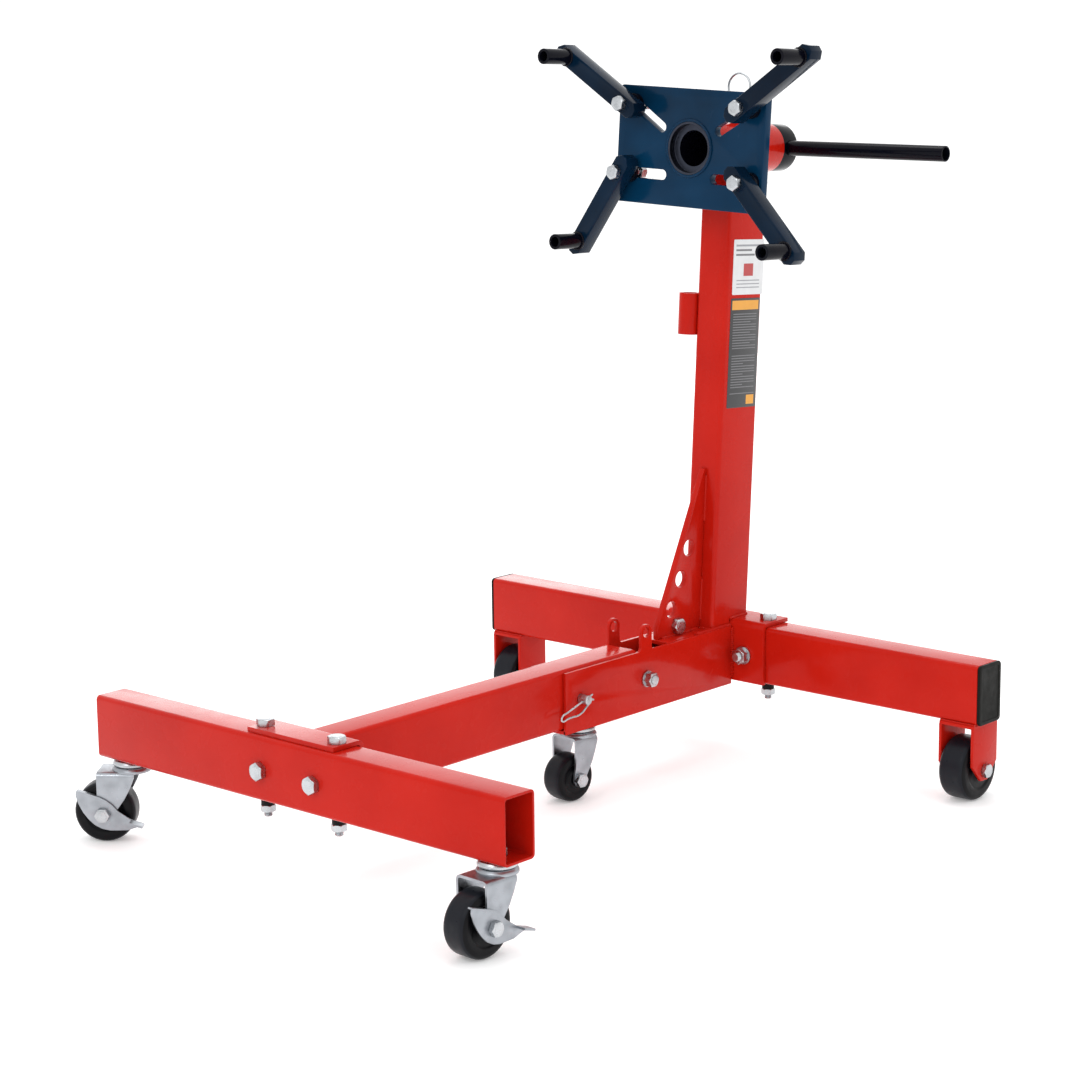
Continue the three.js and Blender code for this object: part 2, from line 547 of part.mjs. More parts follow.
// Each slot runs from its inner end to its outer end. Each arm's bolt sits at a place along it.
const SLOT_HALF = BOLT.radius + 0.5;
const ARMS = [
  { name: 'upper_left', inner: [-46, 24], outer: [-100, 57], place: 52, angle: 150.5 },
  { name: 'upper_right', inner: [46, 24], outer: [100, 57], place: 60, angle: 36.5 },
  { name: 'lower_left', inner: [-42, -36], outer: [-102, -36], place: 51.5, angle: -122.6 },
  { name: 'lower_right', inner: [42, -36], outer: [102, -36], place: 59, angle: -44.1 },
];

function slotOutline([x0, y0], [x1, y1], half) {
  const along = Math.atan2(y1 - y0, x1 - x0);
  const path = new THREE.Path();
  path.absarc(x1, y1, half, along - Math.PI / 2, along + Math.PI / 2, false);
  path.absarc(x0, y0, half, along + Math.PI / 2, along + 1.5 * Math.PI, false);
  return path;
}

function facePlate() {
  const outline = roundedOutline(FACEPLATE.width, FACEPLATE.height, FACEPLATE.corner);
  for (const arm of ARMS) outline.holes.push(slotOutline(arm.inner, arm.outer, SLOT_HALF));
  const shaftHole = rod(MOUTH.outer + GAP, -1, FACEPLATE.thick + 1, [0, 0, 0], [0, 0, 0], BROAD);
  return drilled(toSolid(extruded(outline, FACEPLATE.thick, 4)), shaftHole);
}
// Extruded along +Z, then stood up so that its outline's Y is up and its depth runs backward.
add(plate, 'face_plate', facePlate().rotate([90, 0, 0]).translate([0, FACEPLATE.thick, 0]), NAVY);

const ARM_BACK = GAP; // the boss's rear end, ahead of the plate's front face
const BAR_BACK = ARM.standoff;
const BAR_FRONT = BAR_BACK + ARM.thick;
const SLEEVE_END = BAR_FRONT + ARM_SLEEVE.length;

// Welded arm along +X from its bolt hole, with +Z pointing forward from the plate.
function armSolid() {
  const [half, chamfer] = [ARM.width / 2, ARM.chamfer];
  const [tail, nose] = [-ARM.tail, ARM.reach + ARM.nose];
  const outline = polygon([
    [tail + chamfer, -half], [nose - chamfer, -half], [nose, -half + chamfer], [nose, half - chamfer],
    [nose - chamfer, half], [tail + chamfer, half], [tail, half - chamfer], [tail, -half + chamfer],
  ]);
  const bar = toSolid(extruded(outline, ARM.thick).translate(0, 0, BAR_BACK));
  const boss = rod(ARM.boss, ARM_BACK, BAR_BACK + 1);
  const sleeve = rod(ARM_SLEEVE.outer, BAR_FRONT - 1, SLEEVE_END, [0, 0, 0], [ARM.reach, 0, 0]);
  return drilled(
    joined(bar, boss, sleeve),
    holeZ(BOLT_HOLE, 0, 0, -5, BAR_FRONT + 5),
    holeZ(ARM_SLEEVE.inner, ARM.reach, 0, 0, SLEEVE_END + 5),
  );
}

for (const arm of ARMS) {
  const length = Math.hypot(arm.outer[0] - arm.inner[0], arm.outer[1] - arm.inner[1]);
  const [x, z] = [0, 1].map((i) => THREE.MathUtils.lerp(arm.inner[i], arm.outer[i], arm.place / length));
  const mount = addGroup(plate, [x, 0, z], AXIS_FRONT);
  const grip = BAR_FRONT + FACEPLATE.thick + 2 * GAP;
  add(mount, `arm_bolt_${arm.name}`, boltAndNut(grip, { bolt: ARM_BOLT, washers: false }), ZINC,
    [0, 0, BAR_FRONT + GAP]);
  add(mount, `arm_${arm.name}`, armSolid(), NAVY, [0, 0, 0], [0, 0, THREE.MathUtils.degToRad(arm.angle)]);
}

// ---- Casters -----------------------------------------------------------------------------------

// Every caster is drawn with its swivel axis on x = y = 0, the floor at z = 0, and its wheel
// trailing towards -Y.

function wheel({ wheel: radius, width }) {
  const [half, hub, bore] = [width / 2, radius * 0.42, 5 + RUN];
  const [shoulder, dish] = [3.5, 2.5];
  return turned([
    [bore, -half - 1], [hub, -half - 1], [hub, -half + dish], [radius * 0.72, -half],
    [radius - shoulder, -half], [radius, -half + shoulder], [radius, half - shoulder],
    [radius - shoulder, half], [radius * 0.72, half], [hub, half - dish], [hub, half + 1],
    [bore, half + 1], [bore, -half - 1],
  ]);
}

// Fixed upper half of a swivel: stem and nut inside the tube, cup, and a king pin headed below.
function swivelCup(mount, withStem) {
  const [top, cup] = [mount - GAP, 22.5];
  const raceway = top - 8.3;
  const profile = [[0, raceway - 12], [8, raceway - 12], [8, raceway - 8.6], [4.6, raceway - 8.6],
    [4.6, raceway], [cup - 2.5, raceway], [cup, raceway + 3], [cup - 1.5, top - 2], [cup - 5, top]];
  if (!withStem) return turned([...profile, [0, top]]);
  const inside = mount + TUBE.wall + GAP;
  const stem = turned([...profile, [BOLT.radius, top], [BOLT.radius, inside + 13], [0, inside + 13]]);
  return joined(stem, hexagon(BOLT.flats, inside, inside + 9));
}

// Pressed-steel fork: a top plate with a raised lower race, and two legs that lean to the axle.
function swivelFork({ wheel: radius, width, trail, mount }) {
  const top = mount - GAP - 8.3 - GAP; // top of the lower race
  const under = top - 7.6; // underside of the top plate
  const inner = width / 2 + 3;
  const outer = inner + 3;
  const scale = radius / 37;
  const rise = under - radius;
  const boss = 11 * scale;
  const legOutline = new THREE.Shape();
  legOutline.moveTo(-trail - 7 * scale, under + 3);
  legOutline.lineTo(-trail - 7 * scale, radius + rise * 0.4);
  legOutline.lineTo(-trail - boss, radius + 2);
  legOutline.absarc(-trail, radius, boss, Math.PI, 2 * Math.PI - 0.3, false);
  legOutline.lineTo(-trail + 26 * scale, radius + rise * 0.38);
  legOutline.lineTo(-trail + 33 * scale, radius + rise * 0.66);
  legOutline.lineTo(-trail + 38 * scale, under - 4);
  legOutline.lineTo(-trail + 38 * scale, under + 3);
  const legs = [sidePlate(legOutline, -outer, -inner), sidePlate(legOutline, inner, outer)];
  const plateOutline = roundedOutline(2 * outer, 45 * scale + 14, 7);
  const topPlate = toSolid(extruded(plateOutline, 3.2)).translate([0, -trail + 8.5 * scale + 7, under]);
  const race = turned([[0, under + 1], [23.5, under + 1], [23.5, under + 4.2], [20.5, top], [0, top]]);
  const nearAxle = holeX(5 + RUN, -trail, radius, -outer - 2, outer + 2);
  return drilled(joined(topPlate, race, ...legs), nearAxle, holeZ(4.6 + RUN, 0, 0, under - 2, top + 2));
}

const AXLE = { radius: 5, flats: 16, head: 6.5, nutFlats: 16, nut: 8, tip: 3 };
const LEVER = { thick: 2.5, pedal: 12 };

// Side brake: a pressed lever on the axle outside the fork's right leg, with a foot pedal turned
// outward at its tail. Its outline is [y, z] from the axle.
function brakeLever(inner) {
  const outline = new THREE.Shape();
  outline.moveTo(-31, 30);
  outline.lineTo(-3, 21.5);
  outline.quadraticCurveTo(9, 16, 18, 5);
  outline.lineTo(34, -6);
  outline.lineTo(50, -10.5);
  outline.lineTo(49.6, -13);
  outline.lineTo(38, -16);
  outline.lineTo(30, -19);
  outline.lineTo(8, -19.5);
  outline.quadraticCurveTo(-3, -18, -10, -13);
  outline.quadraticCurveTo(-27, 2, -32.5, 24);
  const blade = sidePlate(outline, inner, inner + LEVER.thick, 6);
  const pedal = sidePlate(polygon([[34, -6], [50, -10.5], [49.6, -13], [33.5, -8.5]]),
    inner + 0.5, inner + LEVER.thick + LEVER.pedal);
  return drilled(joined(blade, pedal), holeX(AXLE.radius + RUN, 0, 0, inner - 2, inner + LEVER.thick + 2));
}

function swivelCaster(name, spec, position, heading, withBrake) {
  const caster = addGroup(stand, position, [0, 0, THREE.MathUtils.degToRad(heading)]);
  const axleAt = [0, -spec.trail, spec.wheel];
  const legOuter = spec.width / 2 + 6;
  const leverSpace = withBrake ? LEVER.thick + GAP : 0;
  add(caster, `caster_cup_${name}`, swivelCup(spec.mount, withBrake), ZINC);
  add(caster, `caster_fork_${name}`, swivelFork(spec), ZINC);
  add(caster, `caster_wheel_${name}`, wheel(spec), RUBBER, axleAt, AXIS_X);
  if (withBrake) add(caster, `brake_lever_${name}`, brakeLever(legOuter + GAP), ZINC, axleAt);
  add(caster, `caster_axle_${name}`,
    boltAndNut(2 * legOuter + leverSpace + 2 * GAP, { bolt: AXLE, washers: false }), ZINC,
    [legOuter + leverSpace + GAP, -spec.trail, spec.wheel], AXIS_X);
}
swivelCaster('front_left', FRONT_CASTER, [-FRONT.casterX, TUBE.wide / 2, 0], -52, true);
swivelCaster('front_right', FRONT_CASTER, [FRONT.casterX, TUBE.wide / 2, 0], -2, true);
swivelCaster('middle', MIDDLE_CASTER, [0, 495, 0], -6, false);

// Fixed fork welded under each end of the rear crossbar.
function rearFork() {
  const [thick, inner, halfDepth] = [4, REAR_WHEEL.width / 2 + 2.4, 27];
  const [top, axle] = [TUBE_BOTTOM - GAP, REAR_WHEEL.wheel];
  const leg = polygon([
    [-halfDepth, top], [-halfDepth, axle + 8.5], [-7, axle - 13], [7, axle - 13],
    [halfDepth, axle + 8.5], [halfDepth, top],
  ]);
  const outer = inner + thick;
  const web = box([-outer, -halfDepth, top - thick], [outer, halfDepth, top]);
  const legs = [sidePlate(leg, -outer, -inner), sidePlate(leg, inner, outer)];
  return drilled(joined(web, ...legs), holeX(AXLE.radius + RUN, 0, axle, -outer - 2, outer + 2));
}

for (const [side, sign] of SIDES) {
  const fork = addGroup(stand, [sign * REAR.casterX, REAR.y + TUBE.wide / 2, 0],
    [0, 0, sign > 0 ? 0 : Math.PI]);
  const outer = REAR_WHEEL.width / 2 + 6.4;
  add(fork, `rear_fork_${side}`, rearFork(), RED);
  add(fork, `rear_wheel_${side}`, wheel(REAR_WHEEL), RUBBER, [0, 0, REAR_WHEEL.wheel], AXIS_X);
  add(fork, `rear_axle_${side}`, boltAndNut(2 * outer + 2 * GAP, { bolt: AXLE, washers: false }), ZINC,
    [outer + GAP, 0, REAR_WHEEL.wheel], AXIS_X);
}

// ---- Origin: middle of the footprint, on the floor ---------------------------------------------

stand.updateMatrixWorld(true);
const extent = new THREE.Box3().setFromObject(stand, true);
stand.position.set(-(extent.min.x + extent.max.x) / 2, -(extent.min.y + extent.max.y) / 2, -extent.min.z);
stand.updateMatrixWorld(true);

export default stand;
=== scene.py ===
"""Folding engine stand: the looks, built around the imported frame.

Lengths are in millimetres in the stand's own layout: x = 0 is its middle, y = 0 the front face of the
front crossbar and z = 0 the floor. Each piece is built there and moved into the frame in metres.
"""

import math

import bmesh
import bpy
from mathutils import Matrix, Vector


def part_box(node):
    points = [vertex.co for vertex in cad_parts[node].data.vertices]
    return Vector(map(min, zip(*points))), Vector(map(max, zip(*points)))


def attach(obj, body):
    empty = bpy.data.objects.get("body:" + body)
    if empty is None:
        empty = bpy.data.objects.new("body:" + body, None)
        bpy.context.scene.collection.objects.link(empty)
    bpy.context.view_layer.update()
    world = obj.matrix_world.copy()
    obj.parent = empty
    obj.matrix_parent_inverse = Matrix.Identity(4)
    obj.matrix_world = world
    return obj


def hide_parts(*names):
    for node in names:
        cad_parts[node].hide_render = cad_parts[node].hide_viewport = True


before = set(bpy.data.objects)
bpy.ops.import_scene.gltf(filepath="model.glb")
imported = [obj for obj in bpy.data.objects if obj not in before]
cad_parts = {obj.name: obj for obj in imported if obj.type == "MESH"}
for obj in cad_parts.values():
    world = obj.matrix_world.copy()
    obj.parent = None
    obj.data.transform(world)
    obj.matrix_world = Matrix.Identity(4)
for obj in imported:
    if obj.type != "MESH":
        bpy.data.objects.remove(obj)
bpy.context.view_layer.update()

# ---- Layout ------------------------------------------------------------------------------------

FRONT_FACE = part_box("front_crossbar")[0].y  # where the layout's y = 0 lies in the frame
STAND = Matrix.Translation((0, FRONT_FACE, 0)) @ Matrix.Scale(0.001, 4)


def shift(x, y, z):
    return Matrix.Translation((x, y, z))


def place(x, y, z):
    return STAND @ shift(x, y, z)


def layout(node):
    """Lowest and highest corner of a CAD node, in the layout's millimetres."""
    inverse = STAND.inverted()
    low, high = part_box(node)
    return inverse @ low, inverse @ high


def turn(angle, axis):
    return Matrix.Rotation(math.radians(angle), 4, axis)


GAP = 0.3
CORNER = 5.5  # outside radius of the rectangular tube's corners
WALL = 3
TOP = layout("front_crossbar")[1].z
BOTTOM = layout("front_crossbar")[0].z
TALL = TOP - BOTTOM
WIDE = 48
BOLT_LINE = 137.5
REAR_Y = layout("rear_crossbar")[0].y
PIVOT_Y = 595.5
LOCK_Y = PIVOT_Y - 128
STORE_REACH = 60  # from the pivot up to the holes in the ears
LEG_START = 54.1
CHANNEL_TOP = layout("channel_cover")[1].z
CHANNEL_OUTER = 29
CHANNEL_FRONT = 440
CHANNEL_REAR = 770
FLANGE_SEAT = layout("rear_bracket")[1].z + GAP  # under the heads of the upright bolts
SLEEVE = 32  # outside radius of the head's sleeve
MOUTH = 33.5  # outside radius of the shaft's wide front end
HEAD_REAR = 187.9  # rear end of the shaft and its hub, along the head's axis
SHAFT_OUTER = 26.5
SHAFT_INNER = 22.5
SLEEVE_REAR = 158  # rear end of the sleeve, along the head's axis
HANDLE_REACH = 173
HANDLE_RADIUS = 10
HEAD_LOCAL = shift(0, 718.3, 798) @ turn(-2.5, "X")
HEAD = STAND @ HEAD_LOCAL
PLATE = HEAD @ turn(2, "Y")
LEAN = 3.84
SLOPE = math.tan(math.radians(LEAN))
COLUMN_LOCAL = shift(0, 772.6, CHANNEL_TOP + GAP) @ turn(-LEAN, "X")
COLUMN = STAND @ COLUMN_LOCAL
BACKWARD = turn(-90, "X")  # +Z becomes the head's rearward +Y
FORWARD = turn(90, "X")  # +Z becomes -Y
SIDEWAYS = turn(90, "Y")  # +Z becomes +X
STAND_ON_EDGE = Matrix(((0, 0, 1, 0), (1, 0, 0, 0), (0, 1, 0, 0), (0, 0, 0, 1)))  # x to y, y to z, z to x
SIDES = (("left", -1), ("right", 1))

# ---- Materials ---------------------------------------------------------------------------------


class Nodes:
    """Builds one procedural material on a Principled shader."""

    def __init__(self, name, color, roughness, metallic=0.0, **sockets):
        self.material = bpy.data.materials.new(name)
        self.material.use_nodes = True
        self.tree = self.material.node_tree
        self.shader = self.tree.nodes["Principled BSDF"]
        self.shader.inputs["Base Color"].default_value = (*color, 1)
        self.shader.inputs["Roughness"].default_value = roughness
        self.shader.inputs["Metallic"].default_value = metallic
        for socket, value in sockets.items():
            self.shader.inputs[socket.replace("_", " ")].default_value = value
        self.space = self.tree.nodes.new("ShaderNodeTexCoord").outputs["Object"]

    def noise(self, scale, detail=3.0, stretch=None):
        """Noise in the piece's own space; scale is in features per metre."""
        node = self.tree.nodes.new("ShaderNodeTexNoise")
        node.inputs["Scale"].default_value = scale
        node.inputs["Detail"].default_value = detail
        source = self.space
        if stretch:
            mapping = self.tree.nodes.new("ShaderNodeMapping")
            mapping.inputs["Scale"].default_value = stretch
            self.tree.links.new(source, mapping.inputs["Vector"])
            source = mapping.outputs["Vector"]
        self.tree.links.new(source, node.inputs["Vector"])
        return node.outputs["Fac"]

    def ramp(self, factor, stops):
        node = self.tree.nodes.new("ShaderNodeValToRGB")
        elements = node.color_ramp.elements
        while len(elements) < len(stops):
            elements.new(0.5)
        for element, (position, color) in zip(elements, stops):
            element.position = position
            element.color = (*color, 1)
        self.tree.links.new(factor, node.inputs["Fac"])
        return node.outputs["Color"]

    def spread(self, factor, low, high):
        node = self.tree.nodes.new("ShaderNodeMapRange")
        node.inputs["From Min"].default_value = 0.3
        node.inputs["From Max"].default_value = 0.7
        node.inputs["To Min"].default_value = low
        node.inputs["To Max"].default_value = high
        self.tree.links.new(factor, node.inputs["Value"])
        return node.outputs["Result"]

    def bump(self, height, distance, strength=1.0, after=None):
        node = self.tree.nodes.new("ShaderNodeBump")
        node.inputs["Distance"].default_value = distance
        node.inputs["Strength"].default_value = strength
        self.tree.links.new(height, node.inputs["Height"])
        if after:
            self.tree.links.new(after, node.inputs["Normal"])
        return node.outputs["Normal"]

    def use(self, **outputs):
        for socket, output in outputs.items():
            self.tree.links.new(output, self.shader.inputs[socket.replace("_", " ")])
        return self.material


def paint(name, dark, base, light, roughness, coat):
    """Glossy enamel: a clear top layer, faint mottling and a fine orange-peel surface."""
    look = Nodes(name, base, roughness, Specular_IOR_Level=0.05, Coat_Weight=coat, Coat_IOR=1.2,
                 Coat_Roughness=0.1)
    mottle = look.ramp(look.noise(9, 4), [(0.3, dark), (0.5, base), (0.72, light)])
    gloss = look.spread(look.noise(35, 5), roughness - 0.05, roughness + 0.08)
    waves = look.bump(look.noise(10, 1), 0.0005, 0.15)
    skin = look.bump(look.noise(520, 2), 0.00006, 0.5, after=waves)
    return look.use(Base_Color=mottle, Roughness=gloss, Normal=skin)


def zinc(name, tint, roughness):
    """Bright zinc plate: cloudy grey metal with fine drawn lines."""
    look = Nodes(name, tint, roughness, metallic=1.0)
    darker = tuple(c * 0.78 for c in tint)
    paler = tuple(min(1, c * 1.12) for c in tint)
    clouds = look.ramp(look.noise(60, 6), [(0.3, darker), (0.55, tint), (0.8, paler)])
    gloss = look.spread(look.noise(240, 4), roughness - 0.08, roughness + 0.12)
    grain = look.bump(look.noise(900, 3, stretch=(1, 1, 0.15)), 0.00005, 0.5)
    return look.use(Base_Color=clouds, Roughness=gloss, Normal=grain)


def moulded(name, base, roughness, grain_scale, grain_depth, dust):
    """Black moulding with a fine grain and a little pale dust where it is scuffed."""
    look = Nodes(name, base, roughness, Specular_IOR_Level=0.15)
    dusty = tuple(c + dust for c in base)
    color = look.ramp(look.noise(45, 6), [(0.35, base), (0.62, base), (0.85, dusty)])
    gloss = look.spread(look.noise(110, 4), roughness - 0.07, roughness + 0.1)
    grain = look.bump(look.noise(grain_scale, 3), grain_depth, 0.6)
    return look.use(Base_Color=color, Roughness=gloss, Normal=grain)


def flat_print(name, color, roughness=0.35):
    """Printed film, with the slight unevenness of a sticker on painted steel."""
    look = Nodes(name, color, roughness, Coat_Weight=0.3, Coat_Roughness=0.15)
    tone = look.ramp(look.noise(70, 3), [(0.3, tuple(c * 0.93 for c in color)), (0.7, color)])
    return look.use(Base_Color=tone, Normal=look.bump(look.noise(60, 2), 0.0002, 0.25))


RED = paint("red_enamel", (0.43, 0.008, 0.003), (0.47, 0.010, 0.004), (0.51, 0.013, 0.006),
            roughness=0.24, coat=0.6)
NAVY = paint("navy_enamel", (0.001, 0.016, 0.040), (0.001, 0.024, 0.062), (0.002, 0.034, 0.085),
             roughness=0.2, coat=0.5)
# Darker copy of the navy enamel: it paints shade onto the arms, which carry the face plate's paint
ARM_NAVY_PAINTED_SHADE = paint("arm_enamel_painted_shade", (0.001, 0.005, 0.014), (0.001, 0.009, 0.023), (0.002, 0.014, 0.036),
                 roughness=0.2, coat=0.5)
BLACK = paint("black_enamel", (0.001, 0.001, 0.003), (0.002, 0.002, 0.005), (0.003, 0.004, 0.008),
              roughness=0.22, coat=0.5)
ZINC = zinc("bright_zinc", (0.50, 0.52, 0.54), 0.28)
STEEL = zinc("pressed_zinc", (0.36, 0.38, 0.41), 0.34)
GUNMETAL = zinc("gunmetal", (0.045, 0.05, 0.068), 0.35)
# Near-black spacer under the flange bolts' nuts: its colour paints the shade beneath the brackets
COLLAR_PAINTED_SHADE = moulded("collar_painted_shade", (0.004, 0.004, 0.004), 0.5, 700, 0.00004, 0.003)
WHEEL = moulded("wheel_black", (0.002, 0.002, 0.003), 0.38, 700, 0.00004, 0.003)
# Tread: a paler, bluish grey than the wheel's faces, which paints a reflected sheen onto the tread
TREAD_PAINTED_SHEEN = moulded("tread_painted_sheen", (0.008, 0.009, 0.013), 0.34, 500, 0.00005, 0.012)
PLASTIC = moulded("cap_plastic", (0.003, 0.003, 0.002), 0.5, 1500, 0.00008, 0.002)
LABEL_PALE = flat_print("label_pale", (0.70, 0.71, 0.72))
LABEL_DARK = flat_print("label_dark", (0.020, 0.020, 0.022))
LABEL_GREY = flat_print("label_grey", (0.16, 0.16, 0.17))
LABEL_AMBER = flat_print("label_amber", (0.75, 0.33, 0.02))
LABEL_RED = flat_print("label_red", (0.45, 0.03, 0.03))
LABEL_STEEL = flat_print("label_bars", (0.30, 0.31, 0.33))

# ---- Mesh building -----------------------------------------------------------------------------


def mesh_of(vertices, faces):
    mesh = bpy.data.meshes.new("shape")
    mesh.from_pydata([tuple(v) for v in vertices], [], faces)
    return mesh


def revolved(profile, segments=64):
    """Closed [radius, z] profile turned about z. Points on the axis stay single."""
    work = bmesh.new()
    rings = []
    for radius, z in profile:
        if radius < 1e-6:
            rings.append([work.verts.new((0, 0, z))])
        else:
            angles = (2 * math.pi * k / segments for k in range(segments))
            rings.append([work.verts.new((radius * math.cos(a), radius * math.sin(a), z)) for a in angles])
    for lower, upper in zip(rings, rings[1:] + rings[:1]):
        if len(lower) == 1 and len(upper) == 1:
            continue
        for k in range(segments):
            n = (k + 1) % segments
            corners = [lower[k % len(lower)], lower[n % len(lower)],
                       upper[n % len(upper)], upper[k % len(upper)]]
            work.faces.new(list(dict.fromkeys(corners)))
    bmesh.ops.recalc_face_normals(work, faces=work.faces)
    return finished(work)


def finished(work):
    mesh = bpy.data.meshes.new("shape")
    work.to_mesh(mesh)
    work.free()
    return mesh


def eased(profile, radius, steps=3):
    """Profile with its corners rounded. Corners on the axis stay sharp."""
    points = [Vector(p) for p in profile]
    result = []
    for i, corner in enumerate(points):
        before = points[i - 1] - corner
        after = points[(i + 1) % len(points)] - corner
        reach = min(radius, before.length * 0.45, after.length * 0.45)
        if corner.x < 1e-6 or reach < 1e-3:
            result.append(tuple(corner))
            continue
        a = corner + before.normalized() * reach
        b = corner + after.normalized() * reach
        for k in range(steps + 1):
            t = k / steps
            result.append(tuple(a * (1 - t) ** 2 + corner * 2 * t * (1 - t) + b * t ** 2))
    return result


def rounded_rectangle(width, height, corner, steps=6):
    x, y = width / 2 - corner, height / 2 - corner
    centres = [(x, y, 0), (-x, y, 90), (-x, -y, 180), (x, -y, 270)]
    points = []
    for cx, cy, start in centres:
        for k in range(steps + 1):
            a = math.radians(start + 90 * k / steps)
            points.append((cx + corner * math.cos(a), cy + corner * math.sin(a)))
    return points


def circle(x, y, radius, steps=32):
    return [(x + radius * math.cos(2 * math.pi * k / steps), y + radius * math.sin(2 * math.pi * k / steps))
            for k in range(steps)]


def slot_hole(start, end, half, steps=12):
    direction = math.atan2(end[1] - start[1], end[0] - start[0])
    points = []
    for (x, y), first in ((end, direction - math.pi / 2), (start, direction + math.pi / 2)):
        for k in range(steps + 1):
            a = first + math.pi * k / steps
            points.append((x + half * math.cos(a), y + half * math.sin(a)))
    return points


def slab(outline, holes, thickness, edge=0.6):
    """Flat plate from z = 0 to its thickness, with all of its edges eased."""
    curve = bpy.data.curves.new("outline", "CURVE")
    curve.dimensions = "2D"
    curve.fill_mode = "BOTH"
    curve.extrude = thickness / 2 - edge
    curve.bevel_depth = edge
    curve.bevel_resolution = 2
    curve.offset = -edge
    for loop in [outline, *holes]:
        spline = curve.splines.new("POLY")
        spline.points.add(len(loop) - 1)
        for point, (x, y) in zip(spline.points, loop):
            point.co = (x, y, 0, 1)
        spline.use_cyclic_u = True
    carrier = bpy.data.objects.new("outline", curve)
    mesh = bpy.data.meshes.new_from_object(carrier)
    bpy.data.objects.remove(carrier)
    mesh.transform(shift(0, 0, thickness / 2))
    work = bmesh.new()
    work.from_mesh(mesh)
    bmesh.ops.remove_doubles(work, verts=work.verts, dist=0.005)
    bmesh.ops.recalc_face_normals(work, faces=work.faces)
    return finished(work)


def prism(outline, x0, x1):
    """Solid block with a [y, z] outline from x0 to x1."""
    vertices = [(x, y, z) for x in (x0, x1) for y, z in outline]
    n = len(outline)
    faces = [list(range(n)), list(range(n, 2 * n))]
    faces += [[k, (k + 1) % n, n + (k + 1) % n, n + k] for k in range(n)]
    work = bmesh.new()
    work.from_mesh(mesh_of(vertices, faces))
    bmesh.ops.recalc_face_normals(work, faces=work.faces)
    return finished(work)


def moved(mesh, *matrices):
    for matrix in reversed(matrices):
        mesh.transform(matrix)
    return mesh


def together(*meshes):
    work = bmesh.new()
    for mesh in meshes:
        work.from_mesh(mesh)
    return finished(work)


def cut(mesh, tools, operation="DIFFERENCE"):
    """Boolean with the exact solver, applied."""
    body = bpy.data.objects.new("body", mesh)
    bpy.context.collection.objects.link(body)
    helpers = []
    for tool in tools:
        helper = bpy.data.objects.new("tool", tool)
        bpy.context.collection.objects.link(helper)
        helpers.append(helper)
        modifier = body.modifiers.new("cut", "BOOLEAN")
        modifier.operation = operation
        modifier.solver = "EXACT"
        modifier.object = helper
    bpy.context.view_layer.update()
    result = bpy.data.meshes.new_from_object(body.evaluated_get(bpy.context.evaluated_depsgraph_get()))
    for helper in [body, *helpers]:
        bpy.data.objects.remove(helper)
    return result


def drill(radius, length, matrix, segments=32):
    profile = [(0, -length / 2), (radius, -length / 2), (radius, length / 2), (0, length / 2)]
    return moved(revolved(profile, segments), matrix)


def swept(points, radius, ripple=0.0, closed=False, resolution=6):
    """Round wire or weld bead along points. A ripple swells it at every other point."""
    curve = bpy.data.curves.new("path", "CURVE")
    curve.dimensions = "3D"
    curve.bevel_depth = radius
    curve.bevel_resolution = resolution
    curve.use_fill_caps = True
    spline = curve.splines.new("POLY")
    spline.points.add(len(points) - 1)
    for k, (point, (x, y, z)) in enumerate(zip(spline.points, points)):
        point.co = (x, y, z, 1)
        point.radius = 1 - ripple * (k % 3) / 2
    spline.use_cyclic_u = closed
    carrier = bpy.data.objects.new("path", curve)
    mesh = bpy.data.meshes.new_from_object(carrier)
    bpy.data.objects.remove(carrier)
    return mesh


def smooth_path(points, per_span=8):
    """Catmull-Rom curve through the points."""
    route = [Vector(p) for p in points]
    route = [2 * route[0] - route[1], *route, 2 * route[-1] - route[-2]]
    result = []
    for a, b, c, d in zip(route, route[1:], route[2:], route[3:]):
        for k in range(per_span):
            t = k / per_span
            result.append(0.5 * (2 * b + (c - a) * t + (2 * a - 5 * b + 4 * c - d) * t ** 2
                                 + (3 * b - a - 3 * c + d) * t ** 3))
    result.append(route[-2])
    return result


def bead(corners, radius=2.6, ripple=0.28):
    """Weld bead along straight runs between corners, with the ripples of its passes."""
    points = []
    for a, b in zip(corners, corners[1:]):
        a, b = Vector(a), Vector(b)
        count = max(2, int((b - a).length / 0.9))
        points += [a.lerp(b, k / count) for k in range(count)]
    points.append(Vector(corners[-1]))
    return swept(points, radius, ripple=ripple, resolution=3)


def ring_bead(radius, z, size=2.4, arc=(0, 360)):
    """Weld bead round a pipe of that radius, at height z."""
    count = int(math.radians(arc[1] - arc[0]) * radius / 0.9)
    angles = [math.radians(arc[0] + (arc[1] - arc[0]) * k / count) for k in range(count + 1)]
    closed = arc[1] - arc[0] >= 360
    points = [(radius * math.cos(a), radius * math.sin(a), z) for a in angles[: -1 if closed else None]]
    return swept(points, size, ripple=0.28, closed=closed, resolution=3)


def show(name, mesh, matrix, body, material, *nodes, smooth=32):
    """Adds a piece to the scene, riding on a CAD body and standing for these CAD nodes."""
    mesh.transform(matrix)
    indices = [polygon.material_index for polygon in mesh.polygons]
    mesh.materials.clear()
    materials = material if isinstance(material, list) else [material]
    for each in materials:
        mesh.materials.append(each)
    for polygon, index in zip(mesh.polygons, indices):
        polygon.use_smooth = True
        polygon.material_index = index
    mesh.set_sharp_from_angle(angle=math.radians(smooth))
    mesh.name = name
    piece = bpy.data.objects.new(name, mesh)
    bpy.context.collection.objects.link(piece)
    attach(piece, body)
    if nodes:
        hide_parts(*nodes)
    return piece


# ---- Fasteners ---------------------------------------------------------------------------------


